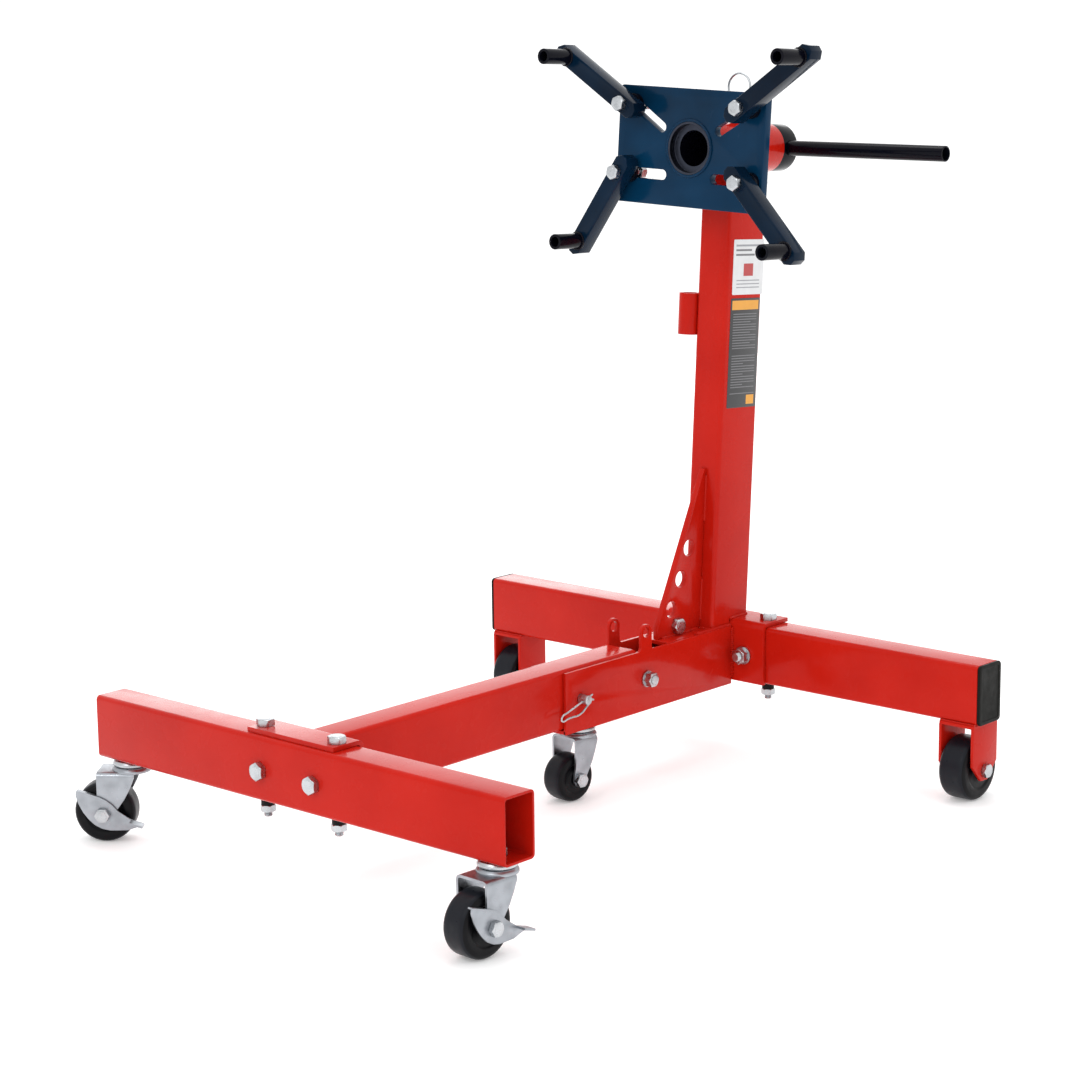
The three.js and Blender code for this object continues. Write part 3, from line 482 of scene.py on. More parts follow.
def hexagonal(flats, z0, z1, chamfer_low, chamfer_high):
    """Hexagon bar with its corners chamfered into a circle, as on a bolt head or a nut."""
    segments = 72
    corner = flats / math.sqrt(3)
    face_radius = flats / 2 * 0.97
    spread = corner - face_radius
    steps = [(0.6 * spread * k / 4, face_radius + spread * k / 4) for k in range(5)]
    blunt = [(0, corner - 0.3), (0.3, corner)]
    levels = [(z0 + drop, limit) for drop, limit in (steps if chamfer_low else blunt)]
    levels += [(z1 - drop, limit) for drop, limit in reversed(steps if chamfer_high else blunt)]
    work = bmesh.new()
    rings = []
    for z, limit in levels:
        ring = []
        for k in range(segments):
            a = 2 * math.pi * k / segments
            hex_radius = flats / 2 / math.cos((a + math.pi / 6) % (math.pi / 3) - math.pi / 6)
            radius = min(hex_radius, limit)
            ring.append(work.verts.new((radius * math.cos(a), radius * math.sin(a), z)))
        rings.append(ring)
    for lower, upper in zip(rings, rings[1:]):
        for k in range(segments):
            n = (k + 1) % segments
            work.faces.new([lower[k], lower[n], upper[n], upper[k]])
    for ring in (rings[0], rings[-1]):
        work.faces.new(ring)
    bmesh.ops.recalc_face_normals(work, faces=work.faces)
    return finished(work)


def threaded(radius, z0, z1, pitch=1.75):
    """Shank whose surface is cut by the rings of a thread, with a chamfered end at z0."""
    root = radius - 0.75
    profile = [(0, z0), (root - 0.4, z0), (root, z0 + 0.5)]
    z = z0 + 0.5
    while z + pitch < z1:
        profile += [(radius, z + pitch * 0.5), (root, z + pitch)]
        z += pitch
    profile += [(radius, z1), (0, z1)]
    return revolved(profile, 32)


def washer(radius, z0, z1):
    return revolved(eased([(0, z0), (radius, z0), (radius, z1), (0, z1)], 0.5), 48)


def bolt(grip, radius=6, flats=19, head=8, washers=12, nut_flats=None, nut=10, tip=5, collar=0):
    """Hex bolt along z with its nut and washers, or a spacer collar under the nut.

    z = 0 is the face under the head's washer. The collar's faces take the second material.
    """
    nut_flats = nut_flats or flats
    flange = 2.5 if washers else 0
    face = flange + head
    nut_top = -grip - flange - collar
    end = nut_top - nut
    crown = [(0, face - 0.7), (flats * 0.36, face - 0.7), (flats * 0.33, face), (0, face)]
    middle = shift(0, 0, (flange + end) / 2)
    parts = [
        hexagonal(flats, flange, face - 0.2, False, True),
        revolved(crown, 48),
        hexagonal(nut_flats, end, nut_top, True, True),
        threaded(radius, end - tip, end + 1),
        drill(radius - 0.1, flange - end, middle),
    ]
    if washers:
        parts.append(washer(washers, 0, flange))
        parts.append(washer(washers, -grip - flange, -grip))
    if collar:
        spacer = washer(nut_flats / 2, nut_top - 0.3, -grip)
        for polygon in spacer.polygons:
            polygon.material_index = 1
        parts.append(spacer)
    return together(*parts)


def add_bolt(node, matrix, grip, body, material=ZINC, **sizes):
    return show(node + "_hex", bolt(grip, **sizes), matrix, body, material, node)


# ---- Base tubes --------------------------------------------------------------------------------


def rectangular_tube(width, height, length, wall=WALL, corner=CORNER):
    """Welded steel tube along z from 0, open at both ends, with its saw-cut edges eased."""
    outline = rounded_rectangle(width, height, corner)
    inside = rounded_rectangle(width - 2 * wall, height - 2 * wall, corner - wall)
    return slab(outline, [inside], length, edge=0.35)


def add_tubes():
    for name, body, low, high in (
        ("front_crossbar", "leg", *layout("front_crossbar")),
        ("rear_crossbar", "rear_frame", *layout("rear_crossbar")),
    ):
        tube = rectangular_tube(TALL, WIDE, high.x - low.x)
        matrix = place(low.x, low.y + WIDE / 2, BOTTOM + TALL / 2) @ SIDEWAYS
        show(name + "_tube", tube, matrix, body, RED, name)

    length = PIVOT_Y + 20 - LEG_START
    leg = rectangular_tube(WIDE, TALL, length)
    leg = moved(leg, shift(0, LEG_START, BOTTOM + TALL / 2), BACKWARD)
    tail = prism([(578, TOP + 1), (PIVOT_Y + 21, TOP + 1), (PIVOT_Y + 21, BOLT_LINE + 2)], -40, 40)
    store = math.radians(5)  # what the folded leg lacks of standing upright
    stored = (PIVOT_Y - STORE_REACH * math.cos(store), BOLT_LINE - STORE_REACH * math.sin(store))
    holes = [(LOCK_Y, BOLT_LINE), stored]
    tools = [tail] + [drill(6.4, 120, shift(0, y, z) @ SIDEWAYS) for y, z in holes]
    show("leg_rail", cut(leg, tools), STAND, "leg", RED, "leg_tube")


def angle_profile(reach, drop, thick, inside=3.0, steps=8):
    """[y, z] section of a bent plate: an upright from z = -drop and a flange reaching to y = -reach.

    The outer corner is at y = 0, z = 0.
    """
    outer = inside + thick
    points = [(0, -drop), (0, -outer)]
    for k in range(1, steps):
        a = math.radians(90 * k / steps)
        points.append((-outer + outer * math.cos(a), -outer + outer * math.sin(a)))
    points += [(-outer, 0), (-reach, 0), (-reach, -thick), (-outer, -thick)]
    for k in range(1, steps):
        a = math.radians(90 - 90 * k / steps)
        points.append((-outer + inside * math.cos(a), -outer + inside * math.sin(a)))
    points += [(-thick, -outer), (-thick, -drop)]
    return points


def bent_plate(reach, drop, thick, width):
    """Bent plate across x, made from its section."""
    section = slab(angle_profile(reach, drop, thick), [], width, edge=0.5)
    stand_up = Matrix(((0, 0, 1, -width / 2), (1, 0, 0, 0), (0, 1, 0, 0), (0, 0, 0, 1)))
    return moved(section, stand_up)


def add_brackets():
    thick = 5.5
    low, high = layout("leg_bracket")
    plate = bent_plate(high.y - low.y, high.z - low.z, thick, high.x - low.x)
    show("leg_bracket_bent", plate, place(0, high.y, high.z), "leg", RED, "leg_bracket")
    low, high = layout("rear_bracket")
    plate = bent_plate(high.y - low.y, high.z - low.z, thick, high.x - low.x)
    flip = turn(180, "Z")
    show("rear_bracket_bent", plate, place(0, low.y, high.z) @ flip, "rear_frame", RED, "rear_bracket")


def arc(x, y, radius, start, end, steps):
    angles = (math.radians(start + (end - start) * k / steps) for k in range(steps + 1))
    return [(x + radius * math.cos(a), y + radius * math.sin(a)) for a in angles]


def channel_wall():
    """[y, z] outline of a channel side with the raised ear that takes the pin of the folded leg."""
    radius, flare = 10.5, 5
    low = layout("rear_channel")[0]
    rear_flare = arc(PIVOT_Y + radius + flare, CHANNEL_TOP + flare, flare, 270, 180, 6)
    crown = arc(PIVOT_Y, BOLT_LINE + STORE_REACH, radius, 0, 180, 18)
    front_flare = arc(PIVOT_Y - radius - flare, CHANNEL_TOP + flare, flare, 0, -90, 6)
    return [(CHANNEL_FRONT, low.z), (CHANNEL_REAR, low.z), (CHANNEL_REAR, CHANNEL_TOP), *rear_flare,
            *crown, *front_flare, (CHANNEL_FRONT, CHANNEL_TOP)]


def add_channel():
    low = layout("rear_channel")[0].z
    thick = 4.5
    holes = [circle(PIVOT_Y, BOLT_LINE + STORE_REACH, 6.4), circle(LOCK_Y, BOLT_LINE, 6.3)]
    walls = [moved(slab(channel_wall(), holes, thick, edge=0.5), shift(x, 0, 0), STAND_ON_EDGE)
             for x in (-CHANNEL_OUTER, CHANNEL_OUTER - thick)]
    spans = ((CHANNEL_FRONT, 567.5), (623.5, CHANNEL_REAR))
    floors = [moved(slab(rounded_rectangle(2 * CHANNEL_OUTER - 2, y1 - y0, 1), [], thick, edge=0.5),
                    shift(0, (y0 + y1) / 2, low)) for y0, y1 in spans]
    show("rear_channel_steel", together(*walls, *floors), STAND, "rear_frame", RED, "rear_channel")
    low, high = layout("channel_cover")
    cover = slab(rounded_rectangle(high.x - low.x, high.y - low.y, 1.5), [], high.z - low.z)
    show("channel_cover_plate", cover, place(0, (low.y + high.y) / 2, low.z), "rear_frame", RED,
         "channel_cover")


def add_base_bolts():
    # the spacer collars under these nuts take the near-black second material, which paints the shade beneath
    # the brackets
    upright = dict(radius=5, washers=0, nut_flats=16, nut=8, tip=6, collar=11)
    for side, sign in SIDES:
        face = place(43 * sign, -GAP, BOLT_LINE) @ FORWARD
        add_bolt(f"front_face_bolt_{side}", face, 54.4, "leg", washers=0)
        add_bolt(f"front_flange_bolt_{side}", place(58 * sign, 24, FLANGE_SEAT), 82.4, "leg",
                 [ZINC, COLLAR_PAINTED_SHADE], **upright)
        face = place(48 * sign, REAR_Y + WIDE + GAP, BOLT_LINE) @ BACKWARD
        add_bolt(f"rear_face_bolt_{side}", face, 54.4, "rear_frame")
        add_bolt(f"rear_flange_bolt_{side}", place(66 * sign, REAR_Y + 24, FLANGE_SEAT), 82.4,
                 "rear_frame", [ZINC, COLLAR_PAINTED_SHADE], **upright)
    side = place(-CHANNEL_OUTER - GAP, PIVOT_Y, BOLT_LINE) @ turn(-90, "Y")
    add_bolt("pivot_bolt", side, 58.6, "rear_frame", flats=17, washers=10.5, tip=2.5)
    add_bolt("gusset_bolt", place(4.3, 686, 186.5) @ SIDEWAYS, 8.6, "rear_frame", washers=0)


def add_caps():
    """Black plastic plugs in the ends of the rear crossbar, with a raised border."""
    for side, sign in SIDES:
        flange = slab(rounded_rectangle(TALL, WIDE, CORNER), [], 4, edge=1.2)
        dish = slab(rounded_rectangle(TALL - 9, WIDE - 9, 3), [], 3, edge=0.8)
        cap = cut(flange, [moved(dish, shift(0, 0, 3.2))])
        hollow = rounded_rectangle(TALL - 12, WIDE - 12, 1.5)
        plug = slab(rounded_rectangle(TALL - 7, WIDE - 7, 3), [hollow], 17)
        ribs = [moved(slab(rounded_rectangle(TALL - 6.4, 1.2, 0.5), [], 14, edge=0.2),
                      shift(0, y, -15)) for y in (-12, 0, 12)]
        mesh = together(cap, moved(plug, shift(0, 0, -16.8)), *ribs)
        matrix = place(sign * 404.3, REAR_Y + WIDE / 2, BOTTOM + TALL / 2) @ turn(90 * sign, "Y")
        show(f"crossbar_end_{side}", mesh, matrix, "rear_frame", PLASTIC, f"crossbar_cap_{side}")


# ---- Locking pin -------------------------------------------------------------------------------


def add_lock_pin():
    low, high = layout("lock_pin")
    profile = eased([(0, low.x), (6, low.x), (6, high.x), (0, high.x)], 1.6)
    pin = revolved(profile, 40)
    show("lock_pin_bar", pin, place(0, LOCK_Y, BOLT_LINE) @ SIDEWAYS, "lock_pin", ZINC, "lock_pin")
    wire = 1.25
    grip = 6 + 1.3 + 0.4
    route = [(14, 0), (0, 0), (-16, 0), (-34, -0.3), (-43, 0), (-47.5, -3.5), (-44.5, -7.5), (-37, -8),
             (-28, -10), (-18, -13), (-8, -12.6), (0, -grip - 2), (7, -grip - 0.2), (11, -grip + 2.2),
             (14, -grip + 0.4)]
    clip = swept(smooth_path([(0, y, z) for y, z in route]), wire)
    matrix = place(36.5, LOCK_Y, BOLT_LINE) @ turn(16, "X")
    show("lock_pin_hairpin", clip, matrix, "lock_pin", ZINC, "lock_pin_clip")


# ---- Column ------------------------------------------------------------------------------------


def add_column():
    tube = rectangular_tube(WIDE, TALL, 614)
    tube.transform(COLUMN_LOCAL @ shift(0, 0, -10))
    level = prism([(600, 0), (900, 0), (900, CHANNEL_TOP + GAP), (600, CHANNEL_TOP + GAP)], -60, 60)
    step = prism([(REAR_Y - 6.1, 0), (900, 0), (900, FLANGE_SEAT), (REAR_Y - 6.1, FLANGE_SEAT)], -60, 60)
    pipe = drill(SLEEVE + GAP, 420, HEAD_LOCAL @ BACKWARD, 96)
    show("column_post", cut(tube, [level, step, pipe]), STAND, "rear_frame", RED, "column")

    low, high = layout("gusset")
    foot = low.z
    face = high.y - (high.z - foot) * SLOPE
    outline = [(648, foot), (face, foot), (high.y, high.z), (high.y - 4, high.z), (648, 188.5)]
    holes = [circle(y, z, 11) for y, z in ((713, 284.5), (696, 246), (676.5, 209))]
    plate = slab(outline, holes, high.x - low.x, edge=0.8)
    plate = moved(plate, shift(low.x, 0, 0), STAND_ON_EDGE)
    show("gusset_plate", plate, STAND, "rear_frame", RED, "gusset")

    half = 27
    ring = revolved(eased([(11.2, -half), (14, -half), (14, half), (11.2, half)], 0.6), 48)
    holder = COLUMN @ shift(-24 - 14 - GAP, -34, 406)
    show("handle_holder_pipe", ring, holder, "rear_frame", RED, "handle_holder")


def add_welds():
    """Painted-over weld beads where the fabricated pieces meet."""
    corner = REAR_Y - 6
    low, high = BOTTOM + 4, CHANNEL_TOP - 1
    heavy = [[(x, corner, low), (x, corner, high)] for x in (-CHANNEL_OUTER, CHANNEL_OUTER)]
    heavy += [[(x, 700, CHANNEL_TOP), (x, 768, CHANNEL_TOP)] for x in (-25.5, 25.5)]
    runs = [[(x, 737, CHANNEL_TOP), (x, 768, CHANNEL_TOP)] for x in (-24, 24)]
    runs += [[(x, 772, FLANGE_SEAT), (x, 808, FLANGE_SEAT)] for x in (-24, 24)]
    runs += [[(x, 655, CHANNEL_TOP + 0.4), (x, 730, CHANNEL_TOP + 0.4)] for x in (-4, 4)]
    runs.append([(-20, 735, CHANNEL_TOP), (20, 735, CHANNEL_TOP)])
    runs.append([(-28, corner - 0.5, CHANNEL_TOP + 0.5), (28, corner - 0.5, CHANNEL_TOP + 0.5)])
    beads = [bead(run) for run in runs] + [bead(run, 3.6, 0.45) for run in heavy]
    for x in (-4, 4):
        for ends in ((186, 240), (316, 376)):
            beads.append(bead([(x, 734.6 + (z - CHANNEL_TOP) * SLOPE, z) for z in ends], 2.2))
    show("base_welds", together(*beads), STAND, "rear_frame", RED, smooth=60)

    y = LEG_START + 0.3
    runs = [[(x, y, BOTTOM + 7), (x, y, TOP - 7)] for x in (-24, 24)]
    runs.append([(-19, y, TOP), (19, y, TOP)])
    show("leg_welds", together(*[bead(run, 2.2) for run in runs]), STAND, "leg", RED, smooth=60)

    reach = SLEEVE + 0.3
    saddle = [(x, -math.sqrt(reach ** 2 - x ** 2)) for x in (-24 + 0.8 * k for k in range(61))]
    beads = [swept([HEAD_LOCAL @ Vector((x, y, z)) for x, z in saddle], 2.4, ripple=0.28, resolution=3)
             for y in (50, 122.5)]
    for x, z in (saddle[0], saddle[-1]):
        beads.append(bead([tuple(HEAD_LOCAL @ Vector((x, y, z))) for y in (50, 120)], 2.4))
    show("sleeve_welds", together(*beads), STAND, "rear_frame", RED, smooth=60)


# ---- Labels ------------------------------------------------------------------------------------


LABEL_SIDE = shift(24.05, 0, 0) @ STAND_ON_EDGE
LABEL_PLACES = {
    "label_upper": shift(6, 469, 0),
    "label_lower": shift(3, 358, 0),
}


def label(name, width, height, blocks, materials):
    """Thin rounded film with printed blocks on it. Blocks are [x0, y0, x1, y1, material index]."""
    film = slab(rounded_rectangle(width, height, 2), [], 0.3, edge=0.1)
    work = bmesh.new()
    work.from_mesh(film)
    for x0, y0, x1, y1, index in blocks:
        corners = [(x - width / 2, y - height / 2, 0.34) for x, y in ((x0, y0), (x1, y0), (x1, y1), (x0, y1))]
        face = work.faces.new([work.verts.new(corner) for corner in corners])
        face.material_index = index
    show(name, finished(work), COLUMN @ LABEL_SIDE @ LABEL_PLACES[name], "rear_frame", materials)


def bars(x0, x1, top, bottom, pitch, thick, index, short=0.75):
    """Rows of plain bars, every fourth one shorter."""
    rows = []
    y, k = top, 0
    while y - thick > bottom:
        end = x1 if k % 4 != 3 else x0 + (x1 - x0) * short
        rows.append((x0, y - thick, end, y, index))
        y -= pitch
        k += 1
    return rows


def add_labels():
    pale = [(5, 62, 59, 64.5, 2), (5, 56, 38, 58.5, 1), (5, 50, 44, 52.5, 1), (22, 24, 42, 40, 3)]
    pale += bars(8, 56, 19, 5, 4.5, 1.4, 2)
    label("label_upper", 64, 71, pale, [LABEL_PALE, LABEL_GREY, LABEL_STEEL, LABEL_RED])
    dark = [(3, 127, 58, 139, 1), (5, 18, 56, 19, 2), (40, 4, 56, 16, 1)]
    dark += bars(6, 55, 122, 74, 3.4, 1.1, 2)
    dark += bars(6, 55, 68, 24, 3.4, 1.1, 2, short=0.5)
    label("label_lower", 61, 142, dark, [LABEL_DARK, LABEL_AMBER, LABEL_GREY])


# ---- Rotating head -----------------------------------------------------------------------------

ARMS = {
    "upper_left": ((-46, 24), (-100, 57), 52, 150.5),
    "upper_right": ((46, 24), (100, 57), 60, 36.5),
    "lower_left": ((-42, -36), (-102, -36), 51.5, -122.6),
    "lower_right": ((42, -36), (102, -36), 59, -44.1),
}
ARM_BACK = 8  # how far the arms' bars stand off the face plate
ARM_THICK = 23
ARM_FRONT = ARM_BACK + ARM_THICK
ARM_REACH = 110  # from the arm's bolt to its sleeve


def add_head():
    bore = SHAFT_OUTER + 0.4
    profile = [(bore, 13), (SLEEVE, 13), (SLEEVE, SLEEVE_REAR), (bore, SLEEVE_REAR)]
    sleeve = revolved(eased(profile, 0.8), 96)
    show("head_sleeve_pipe", sleeve, HEAD @ BACKWARD, "rear_frame", RED, "head_sleeve")

    profile = [(SHAFT_INNER, 9), (MOUTH - 3, 9), (MOUTH - 3, -1.5), (MOUTH, -1.5), (MOUTH, 12.5),
               (SHAFT_OUTER, 12.5), (SHAFT_OUTER, HEAD_REAR), (SHAFT_INNER, HEAD_REAR)]
    shaft = revolved(eased(profile, 0.9), 96)
    through = drill(HANDLE_RADIUS + GAP, 120, shift(0, 0, HANDLE_REACH) @ SIDEWAYS)
    shaft = cut(shaft, [through])
    for polygon in shaft.polygons:
        if polygon.center.z < 10:
            polygon.material_index = 1
    show("head_shaft_pipe", shaft, HEAD @ BACKWARD, "head", [BLACK, GUNMETAL], "head_shaft")
    collar = ring_bead(MOUTH + 1.6, 0.2, 2.2)
    show("head_shaft_weld", collar, HEAD @ FORWARD, "head", NAVY, smooth=60)

    bore, front = SHAFT_OUTER + GAP, SLEEVE_REAR + 2 * GAP
    hub = revolved(eased([(bore, front), (31, front), (31, HEAD_REAR), (bore, HEAD_REAR)], 1.6), 96)
    show("head_hub_ring", cut(hub, [through]), HEAD @ BACKWARD, "head", BLACK, "head_hub")

    left, right = -150, 270
    bore = HANDLE_RADIUS - 2
    profile = [(bore, left), (HANDLE_RADIUS, left), (HANDLE_RADIUS, right), (bore, right)]
    handle = revolved(eased(profile, 0.8), 48)
    matrix = HEAD @ shift(0, HANDLE_REACH, 0) @ SIDEWAYS
    show("handle_bar", handle, matrix, "handle", BLACK, "handle")

    slots = [slot_hole(inner, outer, 6.5) for inner, outer, _, _ in ARMS.values()]
    centre = circle(0, 0, MOUTH + GAP, 64)
    plate = slab(rounded_rectangle(235, 149, 6, 8), [*slots, centre], 12, edge=0.9)
    matrix = PLATE @ shift(0, 12, 0) @ FORWARD
    show("face_plate_steel", plate, matrix, "head", NAVY, "face_plate")


def add_index_pin():
    at = HEAD @ shift(0, 100, 0)
    barrel = revolved(eased([(4.4, 30.8), (10, 30.8), (10, 53), (4.4, 53)], 0.8), 40)
    around = circle(0, 0, 11, 66)
    weld = [(x, y, math.sqrt((SLEEVE + 0.4) ** 2 - x ** 2)) for x, y in around]
    foot = swept(weld, 1.8, ripple=0.28, closed=True, resolution=3)
    show("index_barrel_pipe", together(barrel, foot), at, "rear_frame", BLACK, "index_barrel")
    profile = [(0, 24.3), (3, 24.3), (4, 25.3), (4, 53.3), (7, 53.3), (7, 65), (5.2, 66.5), (0, 66.5)]
    eye = drill(2.6, 40, shift(0, 0, 60.4) @ SIDEWAYS, 20)
    pin = cut(revolved(eased(profile, 0.5), 40), [eye])
    show("index_pin_plunger", pin, at, "index_pin", ZINC, "index_pin")
    ring = 17.5
    loop = [(x, 0, z) for x, z in circle(0, 59.8 + ring, ring, 72)]
    show("index_pin_ring", swept(loop, 1.5, closed=True), at, "index_pin", ZINC, "index_ring")


def arm_mesh():
    """Arm along +x from its bolt, with z forward: a bar, its standoff boss and its welded sleeve."""
    half, chamfer, tail, nose = 11, 7, -24, 129
    outline = [(tail + chamfer, -half), (nose - chamfer, -half), (nose, -half + chamfer),
               (nose, half - chamfer), (nose - chamfer, half), (tail + chamfer, half),
               (tail, half - chamfer), (tail, -half + chamfer)]
    holes = [circle(0, 0, 6.4), circle(ARM_REACH, 0, 6.5)]
    bar = moved(slab(outline, holes, ARM_THICK, edge=1.0), shift(0, 0, ARM_BACK))
    boss = revolved(eased([(6.4, 0.3), (13, 0.3), (13, ARM_BACK + 0.4), (6.4, ARM_BACK + 0.4)], 0.7), 48)
    sleeve = revolved(eased([(6.5, 11), (10, 11), (10, 75), (6.5, 75)], 0.7), 48)
    weld = ring_bead(10.6, ARM_FRONT + 0.2, 1.9)
    # boss, sleeve and its weld take the black second paint, which paints the shade at the arm's ends against
    # the navy bar
    dark = together(boss, *[moved(mesh, shift(ARM_REACH, 0, 0)) for mesh in (sleeve, weld)])
    for polygon in dark.polygons:
        polygon.material_index = 1
    return together(bar, dark)


def add_arms():
    for name, (inner, outer, along, angle) in ARMS.items():
        start, end = Vector(inner), Vector(outer)
        x, z = start + (end - start).normalized() * along
        mount = PLATE @ shift(x, 0, z) @ FORWARD
        # the arms' bars take the darker navy copy, which paints shade on them
        show(f"arm_{name}_steel", arm_mesh(), mount @ turn(angle, "Z"), f"arm_{name}", [ARM_NAVY_PAINTED_SHADE, BLACK],
             f"arm_{name}")
        seat = mount @ shift(0, 0, ARM_FRONT + GAP) @ turn(17 * len(name), "Z")
        add_bolt(f"arm_bolt_{name}", seat, 43.6, f"carriage_{name}", flats=17, washers=0)


# ---- Casters -----------------------------------------------------------------------------------


def wheel_mesh(radius, width):
    """Solid moulded caster wheel with a rounded tread, a recessed web and a hub."""
    half = width / 2
    side = [(5.2, half + 1), (radius * 0.36, half + 1), (radius * 0.42, half - 1.2),
            (radius * 0.60, half - 1.6), (radius * 0.66, half), (radius * 0.84, half),
            (radius * 0.93, half - 1.6), (radius - 0.35, half - 5), (radius, half - 9)]
    other_side = [(r, -z) for r, z in side]
    mesh = revolved(eased(other_side + side[::-1], 1.2), 96)
    # faces on the tread take the second material, the paler grey that paints a reflected sheen on it
    for polygon in mesh.polygons:
        if math.hypot(polygon.center.x, polygon.center.y) > radius * 0.955:
            polygon.material_index = 1
    return mesh


def cup_mesh(mount, with_stem):
    """Upper cup of the swivel with the domed head of its king pin, and on the stemmed one its nut."""
    top = mount - GAP
    raceway = top - 8.3
    profile = [
        (0, raceway - 12), (6.5, raceway - 12), (8, raceway - 10.5), (8, raceway - 8.8),
        (4.6, raceway - 8.6), (4.6, raceway), (20, raceway), (22.4, raceway + 1.4), (22.4, raceway + 4),
        (20.5, top - 1.2), (17.5, top), (0, top),
    ]
    parts = [revolved(eased(profile, 0.9), 72)]
    if with_stem:
        inside = mount + 3.3
        parts += [threaded(6, top - 1, inside + 9), hexagonal(19, inside, inside + 9, True, True),
                  moved(threaded(6, -13, -8), shift(0, 0, inside), turn(180, "X")),
                  washer(11, mount + 3.05, inside)]
    return together(*parts)


def pressed_fork(radius, width, trail, mount):
    """Pressed fork: a crown that bends down into two legs, cut to their side outline, and its race."""
    top = mount - GAP - 8.3 - GAP
    under = top - 7.6
    inner, thick = width / 2 + 3, 3
    outer = inner + thick
    scale = radius / 37
    rise = under - radius
    boss = 11 * scale
    bend = 6
    top_outside = under + 3.2 - bend
    right = [(outer, 0), *arc(outer - bend, top_outside, bend, 0, 90, 6)]
    inside = arc(inner - bend + thick, under - bend + thick, bend - thick, 90, 0, 3)
    right_inside = [*inside, (inner, 0)]
    section = right + [(-x, z) for x, z in right[::-1]] + [(-x, z) for x, z in right_inside[::-1]]
    section += right_inside
    sheet = moved(slab(section, [], 120, edge=0.02), shift(0, 60 - trail, 0), FORWARD)
    foot = arc(-trail, radius, boss, 180, 340, 14)
    side = [(-trail - 7 * scale, under + 6), (-trail - 7 * scale, radius + rise * 0.4),
            (-trail - boss, radius + 2), *foot, (-trail + 26 * scale, radius + rise * 0.38),
            (-trail + 33 * scale, radius + rise * 0.66), (-trail + 38 * scale, under - 4),
            (-trail + 38 * scale, under + 6)]
    legs = cut(sheet, [prism(side, -60, 60)], "INTERSECT")
    race = [(0, under + 1), (23.5, under + 1), (23.5, under + 4.4), (20.5, top), (0, top)]
    return together(legs, revolved(eased(race, 1.2), 72))


def lever_mesh():
    """Side brake on the axle: a curved blade, a lip along its upper edge and a pedal at its tail."""
    outline = [(-31, 30), (-3, 21.5), (4, 18), (11, 13), (18, 5), (34, -6), (49.8, -10.5), (49.4, -13),
               (38, -16), (30, -19), (8, -19.5), (-1, -17.6), (-10, -13), (-17.5, -5.8), (-24, 3),
               (-29, 13), (-32.4, 24)]
    away = 1000  # keeps the outline clear of x = 0, where eased() leaves corners sharp
    soft = [(x - away, y) for x, y in eased([(x + away, y) for x, y in outline], 2.0)]
    blade = moved(slab(soft, [circle(0, 0, 5.3)], 2.5, edge=0.5), STAND_ON_EDGE)
    pedal = prism([(34, -6), (49.8, -10.5), (49.4, -13), (33.5, -8.5)], 1.0, 14.3)
    lip = prism([(-30.8, 29.8), (-5, 22), (-5.5, 20.2), (-31.2, 28)], -4.5, 1.5)
    return together(blade, pedal, lip)


AXLE = dict(radius=5, flats=16, head=6.5, washers=0, nut=8, tip=3)


def add_caster(name, x, y, heading, radius, width, trail, mount, with_brake, base):
    at = place(x, y, 0) @ turn(heading, "Z")
    axle = at @ shift(0, -trail, radius)
    outer = width / 2 + 6
    lever = 2.8 if with_brake else 0
    fork = f"fork_{name}"
    show(f"caster_{name}_cup", cup_mesh(mount, with_brake), at, base, ZINC, f"caster_cup_{name}")
    plate = pressed_fork(radius, width, trail, mount)
    show(f"caster_{name}_fork", plate, at, fork, STEEL, f"caster_fork_{name}")
    wheel = wheel_mesh(radius, width)
    show(f"caster_{name}_wheel", wheel, axle @ SIDEWAYS, f"wheel_{name}", [WHEEL, TREAD_PAINTED_SHEEN],
         f"caster_wheel_{name}", smooth=45)
    bolt_at = axle @ shift(outer + lever + GAP, 0, 0) @ SIDEWAYS
    add_bolt(f"caster_axle_{name}", bolt_at, 2 * outer + lever + 2 * GAP, fork, **AXLE)
    if with_brake:
        matrix = axle @ shift(outer + GAP, 0, 0)
        show(f"brake_{name}_lever", lever_mesh(), matrix, f"brake_{name}", STEEL, f"brake_lever_{name}")


REAR_WHEEL = dict(radius=40, width=38)
REAR_FORK_OUTER = 25.4


def rear_fork_mesh():
    """Fork folded from one strip of plate: a web under the crossbar and two pointed legs."""
    outer, thick, depth, top, axle = REAR_FORK_OUTER, 4, 27, BOTTOM - GAP, REAR_WHEEL["radius"]
    inner = outer - thick
    leg = [(-depth, top - 3), (-depth, axle + 8.5), (-8, axle - 12.4), (-5, axle - 13), (5, axle - 13),
           (8, axle - 12.4), (depth, axle + 8.5), (depth, top - 3)]
    legs = [moved(slab(leg, [circle(0, axle, 5.2)], thick), shift(x, 0, 0), STAND_ON_EDGE)
            for x in (-outer, inner)]
    web = slab(rounded_rectangle(2 * outer, 2 * depth, 1.5), [], thick)
    web = moved(web, shift(0, 0, top - thick))
    return together(web, *legs)


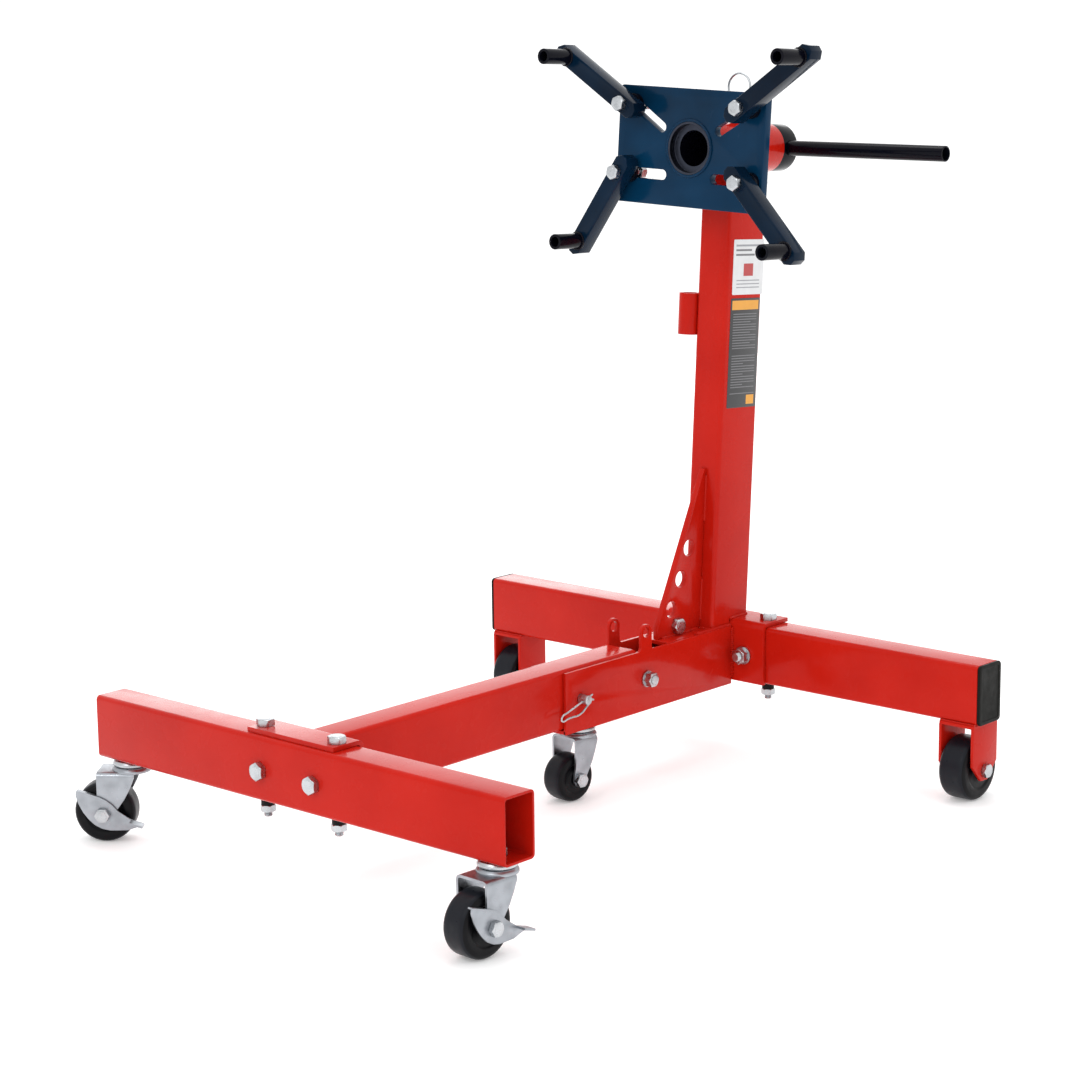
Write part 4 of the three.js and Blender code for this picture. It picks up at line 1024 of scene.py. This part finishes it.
def add_rear_wheels():
    for side, sign in SIDES:
        at = place(sign * 377, REAR_Y + WIDE / 2, 0) @ turn(0 if sign > 0 else 180, "Z")
        weld = [bead([(-25, y, BOTTOM), (25, y, BOTTOM)], 2.0) for y in (-23.5, 23.5)]
        show(f"rear_fork_{side}_plate", together(rear_fork_mesh(), *weld), at, "rear_frame", RED,
             f"rear_fork_{side}")
        axle = at @ shift(0, 0, REAR_WHEEL["radius"])
        show(f"rear_wheel_{side}_tyre", wheel_mesh(**REAR_WHEEL), axle @ SIDEWAYS, f"rear_wheel_{side}",
             [WHEEL, TREAD_PAINTED_SHEEN], f"rear_wheel_{side}", smooth=45)
        seat = REAR_FORK_OUTER + GAP
        add_bolt(f"rear_axle_{side}", axle @ shift(seat, 0, 0) @ SIDEWAYS, 2 * seat, "rear_frame", **AXLE)


# ---- Stage -------------------------------------------------------------------------------------


def area_light(name, place_at, target, size, power):
    data = bpy.data.lights.new(name, "AREA")
    data.energy = power
    data.size = size
    lamp = bpy.data.objects.new(name, data)
    bpy.context.collection.objects.link(lamp)
    lamp.location = place_at
    lamp.rotation_euler = (Vector(target) - Vector(place_at)).to_track_quat("-Z", "Y").to_euler()


def add_studio():
    """Plain white surroundings with no colour shift between the paint's own red and what is seen."""
    world = bpy.data.worlds.new("studio")
    world.use_nodes = True
    background = world.node_tree.nodes["Background"]
    background.inputs["Color"].default_value = (1, 1, 1, 1)
    background.inputs["Strength"].default_value = 1.06
    bpy.context.scene.world = world
    bpy.context.scene.view_settings.view_transform = "Standard"


def add_stage():
    floor = bpy.data.objects.new("floor", mesh_of([(-40, -40, 0), (40, -40, 0), (40, 40, 0), (-40, 40, 0)],
                                                   [(0, 1, 2, 3)]))
    bpy.context.collection.objects.link(floor)
    look = Nodes("pale_floor", (0.95, 0.95, 0.95), 0.7, Emission_Color=(1, 1, 1, 1), Emission_Strength=0.2)
    floor.data.materials.append(look.material)

    add_studio()
    target = (0, 0, 0.35)
    area_light("key", (0.4, -3.0, 2.6), target, 1.2, 20)
    area_light("side", (3.4, 0.4, 2.4), target, 1.0, 2)
    area_light("top", (-0.6, 0.6, 3.6), target, 1.6, 30)
    area_light("back", (-2.7, 3.0, 1.1), target, 3.0, 27)

    camera_data = bpy.data.cameras.new("camera")
    camera_data.sensor_width = 36
    camera_data.lens = 90.47
    camera_data.shift_x = -0.0027
    camera_data.shift_y = -0.0075
    camera_data.clip_end = 50
    camera = bpy.data.objects.new("camera", camera_data)
    bpy.context.collection.objects.link(camera)
    place_at = STAND @ Vector((2164.9, -1977.0, 997.5))
    camera.matrix_world = (Matrix.Translation(place_at) @ turn(41.925, "Z") @ turn(90 - 11.315, "X")
                           @ turn(-0.681, "Z"))
    bpy.context.scene.camera = camera


add_stage()
add_tubes()
add_brackets()
add_channel()
add_base_bolts()
add_caps()
add_lock_pin()
add_column()
add_welds()
add_labels()
add_head()
add_index_pin()
add_arms()
FRONT = dict(radius=37, width=34, trail=32, mount=BOTTOM, with_brake=True, base="leg")
MIDDLE = dict(radius=30, width=32, trail=18, mount=BOTTOM - 5, with_brake=False, base="rear_frame")
add_caster("front_left", -298, 24, -52, **FRONT)
add_caster("front_right", 298, 24, -2, **FRONT)
add_caster("middle", 0, 495, -6, **MIDDLE)
add_rear_wheels()
